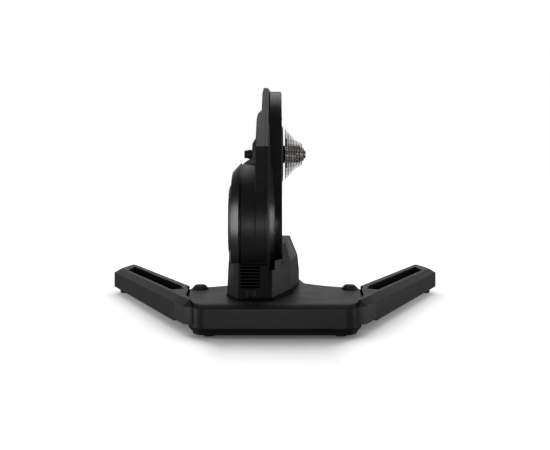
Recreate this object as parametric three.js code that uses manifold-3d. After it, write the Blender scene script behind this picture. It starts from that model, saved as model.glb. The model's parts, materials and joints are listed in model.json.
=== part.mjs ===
// Direct drive bike trainer: folding legs, a wide rear crosspiece, a belt driven flywheel and a cassette.
// Millimetres, +Z up, +Y the way the bicycle faces, +X its chain side, origin on the floor below the middle.
import * as THREE from 'three';
import { mergeVertices } from 'three/addons/utils/BufferGeometryUtils.js';
import Module from 'manifold-3d';

const wasm = await Module();
wasm.setup();

const degree = Math.PI / 180;

// The middle of the whole part, front to rear, lies over the origin
const middleY = 3;

// Clearances and cutting overrun
const seatGap = 0.3;        // between pieces that are fixed to each other
const runGap = 0.5;         // between a piece that turns or slides and its neighbour
const overrun = 20;         // how far a cutting tool reaches past what it cuts
const wideOverrun = 400;    // the same for tools that clear a whole side

// Steps round a full turn
const fineSteps = 32;
const midSteps = 18;
const smallSteps = 16;
const tinySteps = 8;
const windowSteps = 6;

// The rear axle line, where the bicycle is held
const axleY = 7;
const axleZ = 358;
const axleEnd = 71;         // half of the width over the axle ends
const thruRadius = 6.1;     // bore for a 12 mm thru axle
const axleRadius = 8;

// Base crosspiece
const baseRearY = -312;
const baseBottom = 7.6;
const baseLip = 11.5;
const baseChamferTop = 20;
const baseFaceTop = 56;
const baseTop = 64;
const baseFlatHalf = 130;
const baseHalf = 160;
const baseCornerY = -270;
const baseLowInset = 8;
const baseLowSideInset = 4;
const baseTopInset = 17.5;
const baseSideInset = 6;
const flankMidHalf = 174;
const flankMidY = -226;
const noseHalf = 56;
const noseY = 80;
const noseShoulderHalf = 70;
const noseShoulderY = -30;
const noseNeckHalf = 86;
const noseNeckY = -45;
const farEdgeHalf = 112;
const farEdgeY = -69;
const coreWall = 6;         // rib and wall thickness of the hollow underside
const coreRoof = 57;        // top of the hollow underside
const coreHalf = 104;
const coreRearY = -298;
const coreFrontY = -74;
const sideCoreInX = 110;
const sideCoreOutX = 148;
const sideCoreRearY = -256;
const sideCoreFrontY = -184;
const noseCoreHalf = 49;
const noseCoreFrontY = 70;
const knuckleFrom = -25 * degree;
const knuckleTo = 105 * degree;
const knuckleSteps = 6;
const baseCornerSteps = 5;
const noseNeckShare = 0.5;

// Rounded upper edge of the base: how far in at the rear, in at the sides and up each ring lies
const baseEdgeShares = [
  { rear: 0.29, side: 0.2, up: 0.5 },
  { rear: 0.64, side: 0.5, up: 0.87 },
  { rear: 1, side: 1, up: 1 },
];

// The drum and the flywheel in it, standing just clear of the base
const drumRadius = 126;
const drumClearance = 15.6;
const flyY = -138;
const flyZ = baseTop + drumClearance + drumRadius;

// Leg hinges
const hingeX = 152;
const hingeY = -118;
const knuckleRadius = 33;
const legClearRadius = 36;
const hingePinRadius = 8;
const hingePinTop = 58.5;
const plateUnder = 54;      // underside of the upper hinge plate
const plateOver = 19.4;     // upper side of the lower hinge plate
const pocketInX = 112;
const pocketRearY = -160;
const pocketBendX = 134;
const pocketOutX = 190;
const pocketOutY = -204;

// Legs, in a frame on the hinge: across from the hinge outwards, along towards the tip
const legAngle = 26.7 * degree;
const legInner = 22;
const legOuter = 94;
const legRoot = -84;
const legTipOuter = 421;
const legTipBend = 447;
const legTipBendAcross = 72;
const legTipInner = 503;
const legTipInnerAcross = 31;
const legTipCorner = 488;
const legBottom = 20;
const legFacet = 57;
const legTop = 68;
const legFacetWide = 14;
const legClearance = 1;     // room between the unfolded leg and the base casting
// How much of the facet each corner of the leg's tip takes
const legTipShares = { outer: 1.07, bendAcross: 0.75, bendAlong: 0.65, innerAcross: 0.4, innerAlong: 1.1 };
const troughFloor = 27;
const troughInner = 37;
const troughOuter = 72;
const troughRootInner = 44;
const troughRoot = -2.5;
const troughBend = 15;
const troughStart = 33;
const troughTipOuter = 364;
const troughTipInner = 430;
const troughRamp = 8;
const troughDraft = 1.5;
const wallCoreInner = 76;   // hollow underside of the thick outer wall
const wallCoreOuter = 89;
const wallCoreTop = 54;
const wallCoreFrom = -60;
const wallCoreTo = 396;
const wallCoreCount = 4;
const tongueRadius = 28;
const tongueTop = 53.4;
const tongueReach = 62;
const tongueRear = -44;
const tongueFront = 60;

// The part of the base that carries the legs' line on to its rear corners
const flankBottom = 24;
const flankGrooveZ = 55;
const flankCorner = -140;
const flankCornerAcross = 84;
const flankCornerEnd = -160;
const flankEnd = -166;
const flankInner = 60;
const flankRoot = 40;
const flankSeam = -84.6;

// Lock buttons over the hinges
const buttonTravel = 3;
const buttonWell = 60;
const buttonTop = 73;
const buttonFoot = 63.6;
const buttonSkirt = 66;
const buttonX = 159.5;
const buttonHalfWide = 17;
const buttonHalfDeep = 19;
const buttonTopShare = 0.58;
const buttonCornerShare = 0.45;

// Feet
const rearFootX = 124;
const rearFootY = -275;
const rearFootRadius = 13;
const frontFootAcross = 58;
const frontFootAlong = 432;
const frontFootRadius = 17;
const frontFootNeck = 13;
const frontFootPad = 9;
const footRound = 2;

// The belt's large pulley, and how far the cover and the tower's head stand out round it
const driveRadius = 112;
const coverRoomRound = 32;
const towerRoomRound = 10;
const coverHeadRadius = driveRadius + coverRoomRound;
const towerHeadRadius = coverHeadRadius + towerRoomRound;

// Tower: two castings side by side, seen from the chain side as one outline
const towerSeamX = -20;
const towerRightX = -11;
const towerNarrowX = -29.3;
const towerWideX = -39.5;
const towerEdge = 3;        // bevel along the edges of the narrow head
const towerWideEdge = 2;
const towerBendY = -205;
const towerBendRise = 30.9;
const towerBendZ = flyZ + drumRadius + towerBendRise;
const towerHeadY = 4.4;
const towerHeadEnd = -50 * degree;
const towerHeadSteps = 20;
const towerDrumSteps = 12;
const towerRearFootY = -200;
const towerRearFootZ = 120;
const towerFrontFootY = 62;
const towerFrontWaistY = 72;
const towerFrontWaistZ = 190;
const towerFootTop = 73;
const towerFootLeftX = -38;
const towerFootRightX = 8;
const towerFootRearY = -185;
const towerFootFrontY = 52;
const shoulderTop = 450;
const shoulderMid = 441;
const shoulderMidX = -37;
const shoulderLow = 427;
const towerShellWall = 5;
const towerShellHead = 4;
const towerShellHub = 28;
const bossRadius = 41;
const bossEndRadius = 26;
const bossRimX = -43;
const bossEndX = -52.5;

// Belt cover on the chain side
const coverFootRadius = 82;
const coverBackFootRadius = 97;
const coverBackRimRadius = 84;
const coverBackX = -10.7;
const coverSplitX = 0;
const coverFaceX = 14.6;
const coverWall = 2.5;
const coverBackWall = 2;
const coverEdge = 4;
const coverEdgeRise = 1.5;
const coverHub = 24;
const discRadius = 68;
const discFaceRadius = 60;
const discFaceX = 18.6;
const discBore = 22;

// Belt drive
const beltWide = 12;
const beltMiddleX = 2;
const beltThick = 3.5;
const smallRadius = 14;
const pulleyFlange = 3;
const pulleyLip = 1.5;
const driveRim = 7;
const driveWeb = 4;
const driveHub = 21;
const driveHoles = 6;
const driveHoleRadius = 21;
const driveHoleShare = 0.58;
const driveHubLeftX = -8.2;
const driveHubRightX = 15.6;
const idlerRadius = 13;
const idlerBore = 5;
const idlerStandOff = 23.88; // from the large pulley's face to the idler's
const idlerLean = 24.61 * degree;
const idlerArmReach = 52;
const idlerArmHalf = 9;
const idlerArmThick = 1.6;
const bearingRadius = 16;
const bearingWide = 6;
const bearingInset = 1;

// Flywheel and brake: rings inside one another, from the drum inwards
const drumWall = 4;
const flyRimGap = 5;
const flyRimWide = 23;
const statorGap = 3;
const ringFaceInset = 19;
const ringFaceWide = 21;
const flyFaceGap = 3;
const flyRimRadius = drumRadius - drumWall - flyRimGap;
const flyRimInner = flyRimRadius - flyRimWide;
const statorRadius = flyRimInner - statorGap;
const ringFaceRadius = drumRadius - ringFaceInset;
const ringBore = ringFaceRadius - ringFaceWide;
const flyFaceRadius = ringBore - flyFaceGap;
const shaftRadius = 7.7;
const shaftEndX = 11.4;
const flyRimRightX = -46;
const flyRimLeftX = -65;
const flyFaceX = -94;
const flyChamfer = 5;
const flyWall = 5;
const flyHub = 22;
const flyHubRightX = -58;
const statorCore = 60;
const statorBore = 34;
const statorPoles = 9;
const statorPoleShare = 0.4;
const statorShoeShare = 0.8;
const statorShoe = 6;
const statorLeftX = -62;
const drumLeftX = -66;
const drumFloorX = -44.4;
const drumRightX = -39.8;
const drumBore = 30;
const ringGrooveX = -70;
const ringGrooveDepth = 3;
const ringFaceX = -88;
const ringWall = 2.5;
const flyRoom = 3;
const gussetHalf = 20;
const gussetLow = 2;
const gussetTipX = -63.5;
const gussetTopX = -43;
const gussetRise = 13.5;

// Lower housing, as plan sections on four heights
const housingWall = 3;
const housingBottom = baseTop + seatGap;
const housingKnee = 95;
const housingChest = 129;
const housingTop = 165;
const housingLeanShare = 0.356;  // how fast the rear face runs forward with height
const housingFlareLeanShare = 0.178;
const housingBehind = 3;
const housingRearY = flyY - drumRadius - housingBehind;
const housingRearLeftY = housingRearY + housingBehind;
const housingRearLeftX = -71;
const housingRearRightX = -5;
const housingSideX = -96;
const housingSideTopX = -91.5;
const housingSideY = -205;
const housingSideFrontY = -80;
const housingWaistX = -62;
const housingWaistY = -5;
const housingFrontX = 48;
const housingFrontY = 72;
const housingFlareX = 33;
const housingFlareY = -177;
const housingRightX = 54.5;
const housingRightY = -30;
const housingChestX = 51;
const housingTopX = 36;

// Rear panel in the lower housing
const panelLeftX = -69;
const panelRightX = -11.4;
const panelBottom = 67;
const panelTop = 131;
const panelReach = 70;
const ventCount = 7;
const ventLeftX = -65.5;
const ventRightX = -28.5;
const ventFirst = 88;
const ventPitch = 6.2;
const ventHigh = 3.2;
const socketX = -46.5;
const socketZ = 77;
const socketHalfWide = 10;
const socketHalfHigh = 7;
const socketDeep = 24;
const socketBore = 5;
const socketPin = 1.5;
const socketRecess = 9;
const socketSetIn = 5;

// Control board on four short posts
const boardLeftX = 12;
const boardRightX = 40;
const boardRearY = -92;
const boardFrontY = -20;
const boardThick = 1.6;
const postHigh = 6;
const postRadius = 3;
const postInset = 6;
const postRoot = 1;

// Cassette and freehub
const chainPitch = 12.7;
const rollerRadius = 3.9;
const toothCounts = [27, 25, 23, 21, 19, 17, 15, 14, 13, 12, 11];
const carrierCount = 3;
const sprocketFirstX = 23.4;
const sprocketPitch = 3.74;
const sprocketThick = 1.6;
const toothTipRise = 0.6;
const toothTipShare = 0.13;
const toothRootShare = 0.37;
const splineOuter = 17;
const splineInner = 15.4;
const splineCount = 9;
const splineWideShare = 0.5;
const spacerOuter = 19.8;
const splineRoom = 0.7;
const carrierOuter = 31;
const sprocketRim = 2.5;
const windowCount = 6;
const windowLeast = 7;
const windowShare = 0.8;
const windowPlaceShare = 0.5;
const freehubLeftX = 22.7;
const sealLeftX = 16;
const sealRadius = 21;
const lockringWide = 4;
const lockringRadius = 15.2;
const lockringBore = 10.6;
const adaptorRadius = 11;
const adaptorWaist = 9.6;
const adaptorRightRadius = 9.5;
const adaptorRightX = 66.5;

const finishes = {
  castBlack: { color: 0x1c1c1d, roughness: 0.55, metalness: 0.3 },
  mouldedBlack: { color: 0x171718, roughness: 0.5, metalness: 0.0 },
  glossBlack: { color: 0x141415, roughness: 0.25, metalness: 0.0 },
  rubber: { color: 0x101010, roughness: 0.85, metalness: 0.0 },
  steel: { color: 0xb7b9bb, roughness: 0.3, metalness: 1.0 },
  nickel: { color: 0xc9c9c6, roughness: 0.22, metalness: 1.0 },
  darkSteel: { color: 0x3a3a3c, roughness: 0.45, metalness: 0.9 },
  alloy: { color: 0x9a9c9f, roughness: 0.4, metalness: 0.9 },
  beltRubber: { color: 0x161616, roughness: 0.8, metalness: 0.0 },
  board: { color: 0x1d4d33, roughness: 0.6, metalness: 0.0 },
};

// Closed solids from shapes, and drawn pieces from solids

function solidOf(geometry) {
  const bare = geometry.index ? geometry.toNonIndexed() : geometry.clone();
  bare.deleteAttribute('normal');
  bare.deleteAttribute('uv');
  const merged = mergeVertices(bare);
  const place = merged.attributes.position.array;
  const order = Uint32Array.from(merged.index.array);
  if (signedVolume(place, order) < 0) {
    for (let i = 0; i < order.length; i += 3) {
      [order[i], order[i + 1]] = [order[i + 1], order[i]];
    }
  }
  return new wasm.Manifold(new wasm.Mesh({ numProp: 3, vertProperties: place, triVerts: order }));
}

function signedVolume(place, order) {
  const at = (i) => new THREE.Vector3(place[3 * i], place[3 * i + 1], place[3 * i + 2]);
  let sum = 0;
  for (let i = 0; i < order.length; i += 3) {
    sum += at(order[i]).dot(at(order[i + 1]).cross(at(order[i + 2])));
  }
  return sum;
}

function geometryOf(solid) {
  const mesh = solid.getMesh();
  const geometry = new THREE.BufferGeometry();
  geometry.setAttribute('position', new THREE.BufferAttribute(mesh.vertProperties, 3));
  geometry.setIndex(new THREE.BufferAttribute(mesh.triVerts, 1));
  geometry.computeVertexNormals();
  return geometry;
}

function join(first, ...more) {
  return more.reduce((sum, solid) => sum.add(solid), first);
}

function cut(first, ...tools) {
  return tools.reduce((rest, tool) => rest.subtract(tool), first);
}

// Frames that carry a flat outline and its depth into the part
const axisX = new THREE.Vector3(1, 0, 0);
const axisY = new THREE.Vector3(0, 1, 0);
const axisZ = new THREE.Vector3(0, 0, 1);
const frameX = new THREE.Matrix4().makeBasis(axisY, axisZ, axisX);
const frameY = new THREE.Matrix4().makeBasis(axisX, axisZ, axisY);
const frameZ = new THREE.Matrix4().makeBasis(axisX, axisY, axisZ);
const turnX = new THREE.Matrix4().makeBasis(axisZ, axisX, axisY);
const turnZ = new THREE.Matrix4().makeBasis(axisY, axisZ, axisX);

function shapeOf(points) {
  return new THREE.Shape(points.map(([a, b]) => new THREE.Vector2(a, b)));
}

function extruded(outline, from, to, frame, holes = []) {
  const shape = outline instanceof THREE.Shape ? outline : shapeOf(outline);
  shape.holes = holes.map((hole) => new THREE.Path(hole.map(([a, b]) => new THREE.Vector2(a, b))));
  const geometry = new THREE.ExtrudeGeometry(shape, { depth: to - from, bevelEnabled: false });
  geometry.translate(0, 0, from);
  return solidOf(geometry.applyMatrix4(frame));
}

function alongX(outline, from, to, holes) {
  return extruded(outline, from, to, frameX, holes);
}

function alongY(outline, from, to, holes) {
  return extruded(outline, from, to, frameY, holes);
}

function alongZ(outline, from, to, holes) {
  return extruded(outline, from, to, frameZ, holes);
}

// A solid through rings of equally many points, each ring flat at its own depth
function lofted(sections, frame) {
  const flat = (ring) => ring.map(([a, b]) => new THREE.Vector2(a, b));
  if (THREE.ShapeUtils.area(flat(sections[0].ring)) < 0) {
    return lofted(sections.map(({ ring, depth }) => ({ ring: [...ring].reverse(), depth })), frame);
  }
  const count = sections[0].ring.length;
  const place = [];
  const order = [];
  for (const { ring, depth } of sections) {
    for (const [a, b] of ring) {
      place.push(a, b, depth);
    }
  }
  for (let level = 0; level + 1 < sections.length; level += 1) {
    for (let i = 0; i < count; i += 1) {
      const next = (i + 1) % count;
      const low = level * count;
      const high = low + count;
      order.push(low + i, low + next, high + next, low + i, high + next, high + i);
    }
  }
  const last = (sections.length - 1) * count;
  for (const [a, b, c] of THREE.ShapeUtils.triangulateShape(flat(sections[0].ring), [])) {
    order.push(c, b, a);
  }
  for (const [a, b, c] of THREE.ShapeUtils.triangulateShape(flat(sections.at(-1).ring), [])) {
    order.push(last + a, last + b, last + c);
  }
  const geometry = new THREE.BufferGeometry();
  geometry.setAttribute('position', new THREE.Float32BufferAttribute(place, 3));
  geometry.setIndex(order);
  return solidOf(geometry.applyMatrix4(frame));
}

// A revolved profile of [radius, depth] points; one that stays off the axis closes on itself
function revolved(profile, steps, frame, centre) {
  const offAxis = profile[0][0] > 0;
  const closed = offAxis ? [...profile, profile[0]] : profile;
  const points = closed.map(([radius, depth]) => new THREE.Vector2(radius, depth));
  const geometry = new THREE.LatheGeometry(points, steps);
  geometry.applyMatrix4(frame);
  geometry.translate(...centre);
  return solidOf(geometry);
}

function turnedX(profile, y, z, steps = fineSteps) {
  return revolved(profile, steps, turnX, [0, y, z]);
}

function turnedZ(profile, x, y, steps = midSteps) {
  return revolved(profile, steps, turnZ, [x, y, 0]);
}

function diskX(radius, from, to, y, z, steps) {
  return turnedX([[0, from], [radius, from], [radius, to], [0, to]], y, z, steps);
}

function ringX(inner, outer, from, to, y, z, steps) {
  return turnedX([[inner, from], [outer, from], [outer, to], [inner, to]], y, z, steps);
}

function diskZ(radius, from, to, x, y, steps) {
  return turnedZ([[0, from], [radius, from], [radius, to], [0, to]], x, y, steps);
}

function block(x0, x1, y0, y1, z0, z1) {
  return alongZ([[x0, y0], [x1, y0], [x1, y1], [x0, y1]], z0, z1);
}

// Points on an arc, ends included
function arc(y, z, radius, from, to, steps) {
  return Array.from({ length: steps + 1 }, (_, i) => {
    const angle = from + (to - from) * i / steps;
    return [y + radius * Math.cos(angle), z + radius * Math.sin(angle)];
  });
}

const part = new THREE.Group();

function piece(name, solid, finish) {
  const geometry = geometryOf(solid);
  geometry.translate(0, -middleY, 0);
  const mesh = new THREE.Mesh(geometry, new THREE.MeshStandardMaterial(finishes[finish]));
  mesh.name = name;
  part.add(mesh);
}

const sides = [{ label: 'left', sign: -1 }, { label: 'right', sign: 1 }];

// Base crosspiece: half an outline, mirrored, with the rear and the sides drawn in separately
function baseOutline(rearInset, sideInset) {
  const corner = arc(0, 0, 1, -Math.PI / 2, 0, baseCornerSteps).map(([a, b]) => [
    baseFlatHalf + a * (baseHalf - sideInset - baseFlatHalf),
    baseCornerY + b * (baseCornerY - baseRearY - rearInset),
  ]);
  const knuckle = arc(hingeX, hingeY, knuckleRadius - sideInset, knuckleFrom, knuckleTo, knuckleSteps);
  const half = [
    ...corner,
    [flankMidHalf - sideInset, flankMidY],
    ...knuckle,
    [farEdgeHalf, farEdgeY - sideInset],
    [noseNeckHalf - noseNeckShare * sideInset, noseNeckY - sideInset],
    [noseShoulderHalf - sideInset, noseShoulderY],
    [noseHalf - sideInset, noseY - sideInset],
  ];
  return [...half, ...half.map(([x, y]) => [-x, y]).reverse()];
}

const legCos = Math.cos(legAngle);
const legSin = Math.sin(legAngle);

function legPoint(sign, across, along) {
  return [
    sign * (hingeX + across * legCos + along * legSin),
    hingeY - across * legSin + along * legCos,
  ];
}

function legRing(sign, points) {
  return points.map(([across, along]) => legPoint(sign, across, along));
}

function flankRing(sign, inset) {
  return legRing(sign, [
    [flankRoot, flankSeam],
    [legOuter - inset, flankSeam],
    [legOuter - inset, flankCorner],
    [flankCornerAcross - inset, flankCornerEnd],
    [flankInner, flankEnd],
  ]);
}

function flank(sign) {
  const whole = lofted([
    { ring: flankRing(sign, 0), depth: flankBottom },
    { ring: flankRing(sign, 0), depth: legFacet },
    { ring: flankRing(sign, legFacetWide), depth: legTop },
  ], frameZ);
  return cut(whole, alongZ(baseOutline(-legClearance, -legClearance), flankGrooveZ, legTop + overrun));
}

function buttonRing(sign, grow, share) {
  const wide = buttonHalfWide * share + grow;
  const deep = buttonHalfDeep * share + grow;
  const corner = buttonCornerShare;
  const ring = [
    [wide, -deep * corner], [wide, deep * corner], [wide * corner, deep], [-wide * corner, deep],
    [-wide, deep * corner], [-wide, -deep * corner], [-wide * corner, -deep], [wide * corner, -deep],
  ];
  return ring.map(([x, y]) => [sign * (buttonX + x), hingeY + y]);
}

function hingePocket(sign) {
  const outline = [
    [pocketInX, pocketRearY], [pocketBendX, pocketRearY], [pocketOutX, pocketOutY],
    [pocketOutX + wideOverrun, pocketOutY], [pocketOutX + wideOverrun, noseY], [pocketInX, noseY],
  ];
  return alongZ(outline.map(([x, y]) => [sign * x, y]), plateOver, plateUnder);
}

function basePosts() {
  const xs = [boardLeftX + postInset, boardRightX - postInset];
  const ys = [boardRearY + postInset, boardFrontY - postInset];
  return xs.flatMap((x) => ys.map((y) => (
    diskZ(postRadius, baseTop - postRoot, baseTop + postHigh, x, y, tinySteps))));
}

// The hollow underside, in cells with ribs between them
function coreGrid(fromX, toX, fromY, toY, columns, rows) {
  const wide = (toX - fromX - (columns - 1) * coreWall) / columns;
  const deep = (toY - fromY - (rows - 1) * coreWall) / rows;
  return Array.from({ length: columns * rows }, (_, i) => {
    const x = fromX + (i % columns) * (wide + coreWall);
    const y = fromY + Math.floor(i / columns) * (deep + coreWall);
    return block(x, x + wide, y, y + deep, -overrun, coreRoof);
  });
}

function baseCores() {
  return [
    ...coreGrid(-coreHalf, coreHalf, coreRearY, coreFrontY, 4, 3),
    ...coreGrid(-noseCoreHalf, noseCoreHalf, coreFrontY + coreWall, noseCoreFrontY, 2, 2),
    ...coreGrid(sideCoreInX, sideCoreOutX, sideCoreRearY, sideCoreFrontY, 1, 1),
    ...coreGrid(-sideCoreOutX, -sideCoreInX, sideCoreRearY, sideCoreFrontY, 1, 1),
  ];
}

function baseSolid() {
  const body = lofted([
    { ring: baseOutline(baseLowInset, baseLowSideInset), depth: baseBottom },
    { ring: baseOutline(baseLowInset, baseLowSideInset), depth: baseLip },
    { ring: baseOutline(0, 0), depth: baseChamferTop },
    { ring: baseOutline(0, 0), depth: baseFaceTop },
    ...baseEdgeShares.map(({ rear, side, up }) => ({
      ring: baseOutline(rear * baseTopInset, side * baseSideInset),
      depth: baseFaceTop + up * (baseTop - baseFaceTop),
    })),
  ], frameZ);
  let base = join(body, flank(-1), flank(1), ...basePosts());
  base = cut(base, ...baseCores());
  for (const { sign } of sides) {
    base = cut(
      base,
      hingePocket(sign),
      alongZ(buttonRing(sign, runGap, 1), buttonWell, baseTop + overrun),
      diskZ(hingePinRadius + seatGap, -overrun, buttonWell + overrun, sign * hingeX, hingeY, smallSteps),
    );
  }
  return base;
}

piece('base_crosspiece', baseSolid(), 'castBlack');

// Legs
function legOutline(sign, inset) {
  const shares = legTipShares;
  return legRing(sign, [
    [legInner, legRoot],
    [legOuter - inset, legRoot],
    [legOuter - inset, legTipOuter - shares.outer * inset],
    [legTipBendAcross - shares.bendAcross * inset, legTipBend - shares.bendAlong * inset],
    [legTipInnerAcross - shares.innerAcross * inset, legTipInner - shares.innerAlong * inset],
    [legInner, legTipCorner - inset],
  ]);
}

function troughRing(sign, inset, ramp) {
  return legRing(sign, [
    [troughRootInner + inset, troughRoot + inset],
    [troughOuter - inset, troughRoot + inset],
    [troughOuter - inset, troughTipOuter - ramp],
    [troughInner + inset, troughTipInner - ramp],
    [troughInner + inset, troughStart + inset],
    [troughRootInner + inset, troughBend + inset],
  ]);
}

function legCores(sign) {
  const length = (wallCoreTo - wallCoreFrom - (wallCoreCount - 1) * coreWall) / wallCoreCount;
  return Array.from({ length: wallCoreCount }, (_, i) => {
    const start = wallCoreFrom + i * (length + coreWall);
    return alongZ(legRing(sign, [
      [wallCoreInner, start], [wallCoreOuter, start],
      [wallCoreOuter, start + length], [wallCoreInner, start + length],
    ]), -overrun, wallCoreTop);
  });
}

function legSolid(sign) {
  const body = lofted([
    { ring: legOutline(sign, 0), depth: legBottom },
    { ring: legOutline(sign, 0), depth: legFacet },
    { ring: legOutline(sign, legFacetWide), depth: legTop },
  ], frameZ);
  const clear = join(
    alongZ(baseOutline(-legClearance, -legClearance), -overrun, legTop + overrun),
    diskZ(legClearRadius, -overrun, legTop + overrun, sign * hingeX, hingeY, midSteps),
  );
  const web = alongZ(legRing(sign, [
    [0, -tongueRadius], [tongueReach, tongueRear], [tongueReach, tongueFront], [0, tongueRadius],
  ]), legBottom, tongueTop);
  const tongue = join(web, diskZ(tongueRadius, legBottom, tongueTop, sign * hingeX, hingeY, midSteps));
  const trough = lofted([
    { ring: troughRing(sign, troughDraft, troughRamp), depth: troughFloor },
    { ring: troughRing(sign, 0, 0), depth: legTop + seatGap },
  ], frameZ);
  const pinHole = diskZ(hingePinRadius + runGap, -overrun, legTop, sign * hingeX, hingeY, smallSteps);
  return cut(join(cut(body, clear, ...legCores(sign)), tongue), trough, pinHole);
}

for (const { label, sign } of sides) {
  piece(`leg_${label}`, legSolid(sign), 'castBlack');
  piece(
    `hinge_pin_${label}`,
    diskZ(hingePinRadius, baseLip, hingePinTop, sign * hingeX, hingeY, smallSteps),
    'steel',
  );
  piece(`leg_lock_button_${label}`, lofted([
    { ring: buttonRing(sign, 0, 1), depth: buttonFoot },
    { ring: buttonRing(sign, 0, 1), depth: buttonSkirt },
    { ring: buttonRing(sign, 0, buttonTopShare), depth: buttonTop },
  ], frameZ), 'mouldedBlack');
  piece(`rear_foot_${label}`, turnedZ([
    [0, 0], [rearFootRadius - footRound, 0], [rearFootRadius, footRound],
    [rearFootRadius, baseBottom - seatGap], [0, baseBottom - seatGap],
  ], sign * rearFootX, rearFootY, smallSteps), 'rubber');
  const [footX, footY] = legPoint(sign, frontFootAcross, frontFootAlong);
  piece(`front_foot_${label}`, turnedZ([
    [0, 0], [frontFootRadius - footRound, 0], [frontFootRadius, footRound],
    [frontFootRadius, frontFootPad], [frontFootNeck, frontFootPad + footRound],
    [frontFootNeck, legBottom - seatGap], [0, legBottom - seatGap],
  ], footX, footY, smallSteps), 'rubber');
}

// Outline round two wheels and the straight runs that touch both; a narrower foot keeps the same angles
const lineAngle = Math.atan2(axleZ - flyZ, axleY - flyY);
const lineLength = Math.hypot(axleZ - flyZ, axleY - flyY);

function twoWheelOutline(headRadius, footRadius, headSteps, footSteps, drawnFoot = footRadius) {
  const lean = Math.acos((headRadius - footRadius) / lineLength);
  return [
    ...arc(axleY, axleZ, headRadius, lineAngle - Math.PI + lean, lineAngle + Math.PI - lean, headSteps),
    ...arc(flyY, flyZ, drawnFoot, lineAngle + Math.PI - lean, lineAngle + Math.PI + lean, footSteps),
  ];
}

// Tower outline on the side view
function towerOutline(grow) {
  const drum = drumRadius + grow;
  const head = towerHeadRadius + grow;
  const lowAngle = Math.PI + Math.asin((flyZ - towerRearFootZ) / drum);
  const toBend = Math.atan2(towerBendZ - flyZ, towerBendY - flyY);
  const reach = Math.hypot(towerBendZ - flyZ, towerBendY - flyY);
  const highAngle = toBend + Math.acos(drum / reach);
  return [
    [towerRearFootY - grow, housingBottom],
    ...arc(flyY, flyZ, drum, lowAngle, highAngle, towerDrumSteps),
    [towerBendY - grow, towerBendZ],
    ...arc(axleY, axleZ, head, Math.acos((towerHeadY - axleY) / head), towerHeadEnd, towerHeadSteps),
    [towerFrontWaistY + grow, towerFrontWaistZ],
    [towerFrontFootY + grow, housingBottom],
  ];
}

function towerFrame() {
  const plate = lofted([
    { ring: towerOutline(0), depth: towerSeamX },
    { ring: towerOutline(0), depth: towerRightX - towerEdge },
    { ring: towerOutline(-towerEdge), depth: towerRightX },
  ], frameX);
  const foot = block(
    towerFootLeftX, towerFootRightX, towerFootRearY, towerFootFrontY, baseTop + seatGap, towerFootTop);
  return cut(
    join(plate, foot),
    diskX(axleRadius + seatGap, towerSeamX - overrun, towerRightX + overrun, axleY, axleZ, smallSteps),
    diskX(bearingRadius + seatGap, towerSeamX - overrun, towerRightX + overrun, flyY, flyZ, smallSteps),
  );
}

piece('tower_frame', towerFrame(), 'castBlack');

function towerLeftShell() {
  const aboveHead = axleZ + towerHeadRadius + overrun;
  const narrow = lofted([
    { ring: towerOutline(-towerEdge), depth: towerNarrowX },
    { ring: towerOutline(0), depth: towerNarrowX + towerEdge },
    { ring: towerOutline(0), depth: towerSeamX - seatGap },
  ], frameX);
  const wide = lofted([
    { ring: towerOutline(-towerWideEdge), depth: towerWideX },
    { ring: towerOutline(0), depth: towerWideX + towerWideEdge },
    { ring: towerOutline(0), depth: towerSeamX - seatGap },
  ], frameX);
  const shoulder = alongY([
    [towerSeamX + overrun, aboveHead], [towerSeamX + overrun, shoulderTop], [towerNarrowX, shoulderTop],
    [shoulderMidX, shoulderMid], [towerWideX, shoulderLow], [towerWideX - overrun, shoulderLow],
    [towerWideX - overrun, aboveHead],
  ], -wideOverrun, wideOverrun);
  const footRoom = block(
    towerWideX - overrun, towerSeamX + overrun, towerFootRearY - seatGap, towerFootFrontY + seatGap,
    0, towerFootTop + seatGap);
  const hollow = join(
    alongX(towerOutline(-towerShellWall), towerWideX + towerShellWall, towerSeamX + overrun)
      .subtract(block(
        towerWideX - overrun, towerSeamX + 2 * overrun, -wideOverrun, wideOverrun,
        shoulderLow - towerShellWall, wideOverrun + axleZ)),
    alongX(towerOutline(-towerShellWall), towerNarrowX + towerShellHead, towerSeamX + overrun),
  );
  const hubs = join(
    diskX(towerShellHub, towerWideX, towerSeamX + overrun, axleY, axleZ, midSteps),
    diskX(towerShellHub, towerWideX, towerSeamX + overrun, flyY, flyZ, midSteps),
  );
  return cut(
    join(narrow, cut(wide, shoulder)), footRoom, cut(hollow, hubs),
    diskX(axleRadius + seatGap, towerWideX - overrun, towerSeamX + overrun, axleY, axleZ, smallSteps),
    diskX(bearingRadius + seatGap, towerWideX - overrun, towerSeamX + overrun, flyY, flyZ, smallSteps),
  );
}

piece('tower_left_shell', towerLeftShell(), 'castBlack');

piece('axle_boss', turnedX([
  [axleRadius + seatGap, towerWideX - seatGap], [bossRadius, towerWideX - seatGap], [bossRadius, bossRimX],
  [bossEndRadius, bossEndX], [axleRadius + seatGap, bossEndX],
], axleY, axleZ, midSteps), 'castBlack');

// Belt cover: an inner dish against the tower and an outer dish over the belt
const coverHeadSteps = 32;
const coverFootSteps = 14;

function coverRing(inset, footRadius, drawnFoot = footRadius) {
  return twoWheelOutline(
    coverHeadRadius - inset, footRadius - inset, coverHeadSteps, coverFootSteps, drawnFoot - inset);
}

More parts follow.
